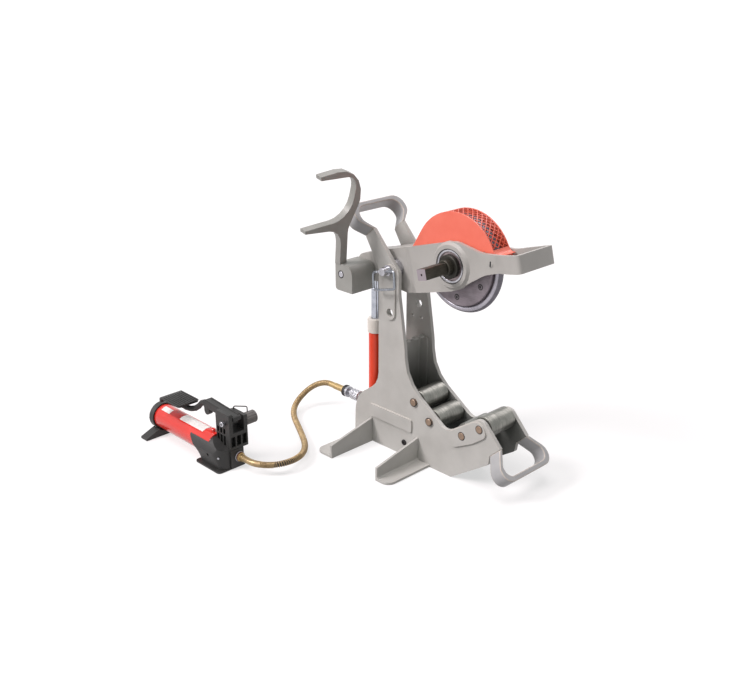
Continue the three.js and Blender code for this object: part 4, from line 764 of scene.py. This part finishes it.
for side, toward in SIDES:
    spots = [(HUB_X + SCREW_CIRCLE * math.cos(math.radians(angle)), DISC_FACE * toward[1],
              HUB_Z + SCREW_CIRCLE * math.sin(math.radians(angle))) for angle in SCREW_ANGLES]
    turned(side + "_disc_screws", SCREW, [black_rubber_and_shade, disc_steel], spots, toward, "spindle")
print(len(SCREW_ANGLES), "screws on each disc")

# %% [markdown]
# The shaft has a thick dark shoulder where it leaves the bearing, and a thin dark gap shows between
# each bearing and the arm's boss. Both are turned rings, fitted round what is there. The gap's ring
# is painted shade: a black ring on the boss's face for the shadow in the gap.

# %% Shaft shoulder and bearing gap shade
SHOULDER = [(17.8, 0, 0), (26.0, 0, 0), (26.0, 8.0, 0), (24.0, 10.0, 0), (17.8, 10.0, 0),
            (17.8, 0, 0)]
GAP_SHADE_RING = [(36.4, -0.8, 0), (38.0, -0.8, 0), (38.0, 0.15, 0), (36.4, 0.15, 0), (36.4, -0.8, 0)]
SHOULDER_FACE = -39.6
BOSS_FACE = 42.5
LARGE_STEPS = 64

turned("shaft_shoulder", SHOULDER, [shoulder_oxide], [(HUB_X, SHOULDER_FACE, HUB_Z)], NEAR,
       "spindle", steps=LARGE_STEPS)
for side, toward in SIDES:
    turned(side + "_bearing_gap_shade", GAP_SHADE_RING, [black_rubber_and_shade], [(HUB_X, BOSS_FACE * toward[1], HUB_Z)],
           toward, "cutter_arm", steps=LARGE_STEPS)
print("shoulder", 2 * SHOULDER[1][0], "mm across")

# %% [markdown]
# Each roller turns on a pin that is riveted over in the plate. The middle of the rivet has browned.
# The dark rims round the pins are painted shade, for the shadow in the gap between pin and plate,
# and they are separate turned rings. Their places come from the pins' own boxes, so they stay right
# if a pin moves.

# %% Roller pin shade rings
PIN_SHADE_RING = [(8.1, -0.5, 0), (10.0, -0.5, 0), (10.0, 0.1, 0), (9.5, 0.6, 0), (8.6, 0.7, 0),
            (8.1, 0.2, 0), (8.1, -0.5, 0)]
ROLLER_PINS = ["rear_outer_roller_pin", "rear_inner_roller_pin", "front_inner_roller_pin",
               "front_outer_roller_pin"]
PLATE_FACE = 54.5


def mid(node, y):
    """A node's middle in millimetres, at that place across the part."""
    low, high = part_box(node)
    return ((low.x + high.x) / 2 / MM, y, (low.z + high.z) / 2 / MM)


for side, toward in SIDES:
    turned(side + "_pin_shade_rings", PIN_SHADE_RING, [screw_oxide],
           [mid(name, PLATE_FACE * toward[1]) for name in ROLLER_PINS], toward, "frame")
print("pins at", [[round(value, 1) for value in mid(name, -PLATE_FACE)] for name in ROLLER_PINS])

# %% [markdown]
# A dark socket bolt shows low down on the near plate, and a dark ring round the tail pin. Both
# are turned. The bolt's outline ends in a hollow, which is its socket.

# %% Bolt and tail pin ring
BOLT = [(0, -0.5, 0), (7.0, -0.5, 0), (7.0, 1.2, 0), (6.2, 2.4, 0), (3.2, 2.6, 0), (3.0, 0.8, 0),
        (0, 0.8, 0)]
BOLT_AT = (-128, -50.6, 34)
TAIL_RING = [(7.2, -0.4, 0), (9.0, -0.4, 0), (9.0, 0.2, 0), (8.2, 0.5, 0), (7.2, 0.2, 0),
             (7.2, -0.4, 0)]
TAIL_SINK = 0.4

turned("near_plate_bolt", BOLT, [screw_oxide], [BOLT_AT], NEAR, "frame")
tail_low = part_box("tail_pin")[0]
tail_spot = mid("tail_pin", tail_low.y / MM + TAIL_SINK)
turned("tail_pin_ring", TAIL_RING, [screw_oxide], [tail_spot], NEAR, "cutter_arm")
print("tail pin ring at", [round(value, 1) for value in tail_spot])

# %% [markdown]
# The guard is held to each cheek of the arm by a screw that is painted over with the arm, so little
# more than its driver slot shows. The head is turned nearly flush, in place of the CAD model's
# proud one. The slot could be cut from the head by a boolean, but a thin dark block with rounded
# edges, half sunk in the head, gives the same stroke with clean faces. Its black is painted shade,
# for the shadow down in the slot.

# %% Guard screws
FLUSH_HEAD = [(0, -3.0, 0), (6.3, -3.0, 0), (6.3, 0.2, 0), (5.8, 0.5, 0), (0, 0.5, 0)]
STRAP_FACE = 38.0
SLOT_PROUD = 0.9
SLOT_HALF_WIDE = 1.8
SLOT_HALF_LONG = 6.0
SLOT_ROUND = 0.3


def rounded_block(shape, low, high, round_by):
    """Adds a block between two corners in millimetres, with its edges rounded."""
    middle = [(a + b) / 2 * MM for a, b in zip(low, high)]
    size = [(b - a) * MM for a, b in zip(low, high)]
    place = Matrix.Translation(middle) @ Matrix.Diagonal((*size, 1))
    cube = bmesh.ops.create_cube(shape, size=1.0, matrix=place)["verts"]
    edges = {edge for vert in cube for edge in vert.link_edges}
    bmesh.ops.bevel(shape, geom=cube + list(edges), offset=round_by * MM, segments=2,
                    profile=0.5, affect="EDGES", material=-1)


for side, toward in SIDES:
    node = side + "_guard_screw"
    head_spot = mid(node, STRAP_FACE * toward[1])
    head = turned(side + "_flush_screw", FLUSH_HEAD, [arm_paint], [head_spot], toward,
                  "cutter_arm")
    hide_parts(node)
    slot_ends = sorted((STRAP_FACE * toward[1], (STRAP_FACE + SLOT_PROUD) * toward[1]))
    slot_shape = bmesh.new()
    rounded_block(slot_shape,
                  (head_spot[0] - SLOT_HALF_WIDE, slot_ends[0], head_spot[2] - SLOT_HALF_LONG),
                  (head_spot[0] + SLOT_HALF_WIDE, slot_ends[1], head_spot[2] + SLOT_HALF_LONG),
                  SLOT_ROUND)
    own_piece(node + "_slot_painted_shade", slot_shape, [black_rubber_and_shade], "cutter_arm")
    print(node, "at", [round(value, 1) for value in head_spot])

# %% [markdown]
# A few short weld beads sit on the upper end of the web between the plates. A bead could be
# sculpted, but at this size it is a low dome, so it is turned about its upright axis.

# %% Weld beads
BEAD = [(0, -1.0, 0), (7.6, -1.0, 0), (7.6, 0.2, 0), (6.6, 1.8, 0), (4.4, 3.0, 0), (2.0, 3.5, 0),
        (0, 3.6, 0)]
WEB_TOP = 270.0
BEADS_AT = [(-157, 12, WEB_TOP), (-156, 33, WEB_TOP), (-158, -13, WEB_TOP)]
SMALL_STEPS = 20

turned("web_weld_beads", BEAD, [casting_paint], BEADS_AT, UP, "frame",
       steps=SMALL_STEPS)
print(len(BEADS_AT), "weld beads")

# %% [markdown]
# The quick coupler has a dust ring of black rubber at each end of its sliding sleeve, and a thin
# copper seal beside the front one. They are round, so they are turned like the small metal
# pieces, with softer corners.

# %% Coupler rings
RUBBER = [(13.7, 0, 0), (14.6, 0.6, 0), (14.9, 1.8, 0), (14.9, 6.4, 0), (14.6, 7.6, 0),
          (13.7, 8.2, 0), (13.7, 0, 0)]
SEAL = [(8.8, 0, 0), (13.6, 0, 0), (14.2, 0.6, 0), (14.2, 1.6, 0), (13.6, 2.2, 0), (8.8, 2.2, 0),
        (8.8, 0, 0)]
REAR_RING_BACK = 75.6
FRONT_RING_BACK = 15.4
SEAL_BACK = 19.6
coupler_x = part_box("coupler_body")[1].x / MM

turned("coupler_dust_rings", RUBBER, [black_rubber_and_shade],
       [(coupler_x - back, 0, COUPLER_Z) for back in (REAR_RING_BACK, FRONT_RING_BACK)], FRONT,
       "frame")
turned("coupler_seal_ring", SEAL, [seal_copper], [(coupler_x - SEAL_BACK, 0, COUPLER_Z)], FRONT,
       "frame")
print("coupler's front end at", round(coupler_x, 1), "mm")

# %% [markdown]
# The sleeve's grip is knurled: two sets of fine grooves that cross. Cutting them into the mesh
# would take thousands of faces that hardly show at this size, so they are drawn in the material.
# The angle round the sleeve's own axis, added to the place along it, gives one set as a wave, and
# the difference gives the other.

# %% Knurled sleeve
KNURL_RIDGES = 14
KNURL_PITCH = 0.0055
KNURL_DEPTH = 0.0003
WAVE_LOW = -1.5
WAVE_HIGH = 1.0


def knurled(name, dark, light, rough, centre_z, ridges, pitch, depth):
    """Metal with crossed grooves round a line along X at that height."""
    material, tree, output = blank_material(name)
    place = add(tree, "ShaderNodeTexCoord").outputs["Object"]
    split = add(tree, "ShaderNodeSeparateXYZ", {"Vector": place}).outputs
    up = maths(tree, "SUBTRACT", split["Z"], centre_z)
    round_it = maths(tree, "MULTIPLY", maths(tree, "ARCTAN2", up, split["Y"]), ridges)
    along = maths(tree, "MULTIPLY", split["X"], 2 * math.pi / pitch)
    grooves = [maths(tree, "SINE", maths(tree, way, round_it, along))
               for way in ("ADD", "SUBTRACT")]
    height = maths(tree, "ADD", *grooves)
    tone = two_tone(tree, spread(tree, height, 0.0, 1.0, WAVE_LOW, WAVE_HIGH), dark, light)
    finish_shader(tree, output, {"Base Color": tone, "Metallic": 1.0, "Roughness": rough},
                  height, depth)
    return material


knurled_zinc = knurled("knurled_zinc_plate", "#6f6f78", "#d9d9de", 0.3, COUPLER_Z * MM,
                       KNURL_RIDGES, KNURL_PITCH, KNURL_DEPTH)
nodes["coupler_sleeve"].data.materials[0] = knurled_zinc
print("knurl with", KNURL_RIDGES, "ridges round the sleeve")

# %% [markdown]
# At the pump the hose screws into a bright fitting with a dark seal. The lever's pin has a bright
# head with a dark hollow, and a small rivet sits in the rounded corner of the body, facing
# straight out of it.

# %% Pump fittings
FLANGE = [(10.7, 0, 0), (12.4, 0, 0), (12.4, 1.6, 0), (11.6, 2.2, 1), (11.2, 5.4, 1),
          (10.7, 5.6, 1), (10.7, 0, 0)]
FLANGE_AT = (-351.0, OUTLET_Y, OUTLET_Z)
PIN_HEAD = [(0, -1.0, 0), (6.4, -1.0, 0), (6.6, 2.6, 0), (5.8, 3.6, 0), (2.6, 3.6, 1),
            (2.4, 1.8, 1), (0, 1.8, 1)]
PIN_HEAD_AT = (-370, -390.2, 112)
RIVET = [(0, -0.8, 0), (2.6, -0.8, 0), (2.6, 0.4, 0), (1.6, 1.0, 0), (0, 1.2, 0)]
RIVET_AT = (-363.1, -412.0, 35.3)
RIVET_FACES = (0.568, -0.821, 0)

turned("outlet_flange", FLANGE, [zinc_plate, seal_copper], [FLANGE_AT], FRONT, "frame")
turned("lever_pin_head", PIN_HEAD, [zinc_plate, screw_oxide], [PIN_HEAD_AT], NEAR, "frame")
turned("pump_body_rivet", RIVET, [zinc_plate], [RIVET_AT], RIVET_FACES, "frame",
       steps=SMALL_STEPS)
print("outlet flange at", FLANGE_AT)

# %% [markdown]
# The tank carries two vinyl labels, left blank here, with a darker red patch between them. They
# could be painted into the tank's material, but a piece of its own has a real edge and can be
# left off. A label starts as one straight line, is spun part of the way round the tank's axis,
# and gets a thin wall.

# %% Tank labels
TANK_Y = -382.5
TANK_Z = 45.0
TANK_RADIUS = 30.0
LABEL_THICK = 0.12
LABEL_LIFT = 0.05
LABEL_FACET = 3
# Name, rear and front place, low and high angle, finish.
LABELS = [
    ("tank_rear_label", -610, -576, 58, 86, label_vinyl),
    ("tank_front_label", -534, -441, 60, 106, label_vinyl),
    ("tank_patch", -575, -535, 58, 106, patch_vinyl),
]


def label(name, rear, front, low_angle, high_angle, finish):
    """A label round the tank, between two places along it and two angles up from the near side."""
    shape = bmesh.new()
    start = math.radians(low_angle)
    radius = TANK_RADIUS + LABEL_LIFT
    axis_at = Vector((0, TANK_Y, TANK_Z)) * MM
    ends = [shape.verts.new(Vector((x, TANK_Y - radius * math.cos(start),
                                    TANK_Z + radius * math.sin(start))) * MM)
            for x in (rear, front)]
    line = shape.edges.new(ends)
    bmesh.ops.spin(shape, geom=ends + [line], cent=axis_at, axis=(1, 0, 0), dvec=(0, 0, 0),
                   angle=-math.radians(high_angle - low_angle),
                   steps=max(4, round((high_angle - low_angle) / LABEL_FACET)))
    bmesh.ops.recalc_face_normals(shape, faces=shape.faces)
    outwards = sum((face.calc_center_median() - axis_at).dot(face.normal) * face.calc_area()
                   for face in shape.faces)
    if outwards > 0:
        bmesh.ops.reverse_faces(shape, faces=shape.faces)
    bmesh.ops.solidify(shape, geom=shape.faces[:], thickness=LABEL_THICK * MM)
    bmesh.ops.recalc_face_normals(shape, faces=shape.faces)
    return own_piece(name, shape, [finish], "frame")


print("on the tank", [label(*row).name for row in LABELS])

# %% [markdown]
# The pedal has raised bars for grip. Each bar is a block with rounded edges, and they are set
# side by side across the pedal's own width, a little sunk so that no gap shows below them.

# %% Pedal tread
TREAD_BARS = 9
TREAD_WIDE = 2.8
TREAD_HIGH = 1.6
TREAD_SINK = 0.6
TREAD_ROUND = 0.6
TREAD_MARGIN = 4
TREAD_REAR = -568
TREAD_FRONT = -499.5

pedal_low, pedal_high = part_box("foot_pedal")
near_y = pedal_low.y / MM + TREAD_MARGIN
far_y = pedal_high.y / MM - TREAD_MARGIN
pedal_top = pedal_high.z / MM
tread_shape = bmesh.new()
for number in range(TREAD_BARS):
    middle = near_y + (far_y - near_y) * number / (TREAD_BARS - 1)
    rounded_block(tread_shape, (TREAD_REAR, middle - TREAD_WIDE / 2, pedal_top - TREAD_SINK),
                  (TREAD_FRONT, middle + TREAD_WIDE / 2, pedal_top + TREAD_HIGH), TREAD_ROUND)
own_piece("pedal_tread_bars", tread_shape, [pump_nylon], "foot_lever")
print(TREAD_BARS, "bars, spread over", round(far_y - near_y, 1), "mm")

# %% [markdown]
# The lever has two ribs along its top, which falls toward the front. The ribs are made level as
# blocks, and then each point is lowered by its share of the fall, which is simpler than working
# out the blocks' turn.

# %% Lever ribs
LEVER_REAR = -459
LEVER_FRONT = -356
REAR_TOP = 136.9
FRONT_TOP = 129.4
RIBS_AT = (-371, -355)
RIB_HALF_WIDE = 1.6
RIB_HIGH = 1.4
RIB_SINK = 2
RIB_ROUND = 0.6

rib_shape = bmesh.new()
for middle in RIBS_AT:
    rounded_block(rib_shape, (LEVER_REAR, middle - RIB_HALF_WIDE, REAR_TOP - RIB_SINK),
                  (LEVER_FRONT, middle + RIB_HALF_WIDE, REAR_TOP + RIB_HIGH), RIB_ROUND)
for vert in rib_shape.verts:
    share = (vert.co.x / MM - LEVER_REAR) / (LEVER_FRONT - LEVER_REAR)
    vert.co.z += share * (FRONT_TOP - REAR_TOP) * MM
own_piece("lever_ribs", rib_shape, [pump_nylon], "foot_lever")
print("ribs", LEVER_FRONT - LEVER_REAR, "mm long")

# %% [markdown]
# The floor is a plain pale sheet, far wider than the view so that it has no edge in it.

# %% Floor sheet
FLOOR_SIZE = 30.0
FLOOR_DROP = 0.4 * MM

floor_mesh = bmesh.new()
bmesh.ops.create_grid(floor_mesh, x_segments=1, y_segments=1, size=FLOOR_SIZE)
bmesh.ops.translate(floor_mesh, verts=floor_mesh.verts, vec=(0, 0, -FLOOR_DROP))
floor_data = bpy.data.meshes.new("floor")
floor_mesh.to_mesh(floor_data)
floor_mesh.free()
floor = bpy.data.objects.new("floor", floor_data)
bpy.context.scene.collection.objects.link(floor)
print("floor", 2 * FLOOR_SIZE, "m wide")

# %% [markdown]
# The lamps light the floor to a mid tone, and for camera and mirror rays a glow adds the rest up
# to white, so the background is even and the object's own shadow stays on it. A floor that is
# white by itself would throw too much light up at the object, and its far part would still be
# grey. The light path tells which rays are which.

# %% Floor paper
FLOOR_TONE = 0.42
FLOOR_LIFT = 0.58


def seen_directly(tree):
    """1 for rays that come straight from the camera, a mirror or a pane, and 0 for light."""
    path = add(tree, "ShaderNodeLightPath").outputs
    seen = maths(tree, "MAXIMUM", path["Is Camera Ray"], path["Is Glossy Ray"])
    return maths(tree, "MAXIMUM", seen, path["Is Transmission Ray"])


floor_paper, tree, output = blank_material("floor_paper")
paper = add(tree, "ShaderNodeBsdfDiffuse", {"Color": [FLOOR_TONE] * 3 + [1.0]})
lift = add(tree, "ShaderNodeMapRange", {"Value": seen_directly(tree), "To Max": FLOOR_LIFT})
glow = add(tree, "ShaderNodeEmission", {"Strength": lift.outputs["Result"]})
both = add(tree, "ShaderNodeAddShader", {0: paper.outputs["BSDF"], 1: glow.outputs["Emission"]})
tree.links.new(both.outputs["Shader"], output.inputs["Surface"])
floor_data.materials.append(floor_paper)
print("paper of", FLOOR_TONE, "with a glow of", FLOOR_LIFT)

# %% [markdown]
# The room round the object is an even white that is seen as white, but lights the object only
# faintly, so that the lamps can give it shape. The same question about the rays settles it.

# %% Room light
AMBIENT = 0.23

world = bpy.data.worlds.new("studio")
bpy.context.scene.world = world
world.use_nodes = True
tree = world.node_tree
tree.nodes.clear()
level = add(tree, "ShaderNodeMapRange", {"Value": seen_directly(tree), "To Min": AMBIENT,
                                         "To Max": 1.0})
sky = add(tree, "ShaderNodeBackground", {"Color": linear("#ffffff"),
                                         "Strength": level.outputs["Result"]})
add(tree, "ShaderNodeOutputWorld", {"Surface": sky.outputs["Background"]})
print("room light", AMBIENT)

# %% [markdown]
# Three soft lamps stand for the photographer's: a broad key from the near side, a weaker one
# from nearly straight above, and a faint one from behind that lights the far side and the inner
# faces. Area lamps close by would fall off over the object's length, so distant lamps with a
# wide angle are used: the angle is what makes their shadows soft. The near side and the tops
# read light, and the faces to the right read darker, as in the photograph.

# %% Lamps
LAMP_TONE = "#fff7f9"


def far_lamp(name, toward, strength, spread_degrees):
    """A distant soft lamp in that direction. Strength is in watts per square metre."""
    data = bpy.data.lights.new(name, "SUN")
    data.energy = strength
    data.color = linear(LAMP_TONE)[:3]
    data.angle = math.radians(spread_degrees)
    lamp = bpy.data.objects.new(name, data)
    lamp.rotation_euler = Vector(toward).to_track_quat("Z", "Y").to_euler()
    bpy.context.scene.collection.objects.link(lamp)


far_lamp("key_lamp", toward=(-0.36, -0.70, 0.62), strength=2.5, spread_degrees=22)
far_lamp("top_lamp", toward=(0.06, -0.30, 0.95), strength=1.4, spread_degrees=32)
far_lamp("back_lamp", toward=(-0.1, 0.8, 0.6), strength=0.9, spread_degrees=35)
print(len(bpy.data.lights), "lamps")
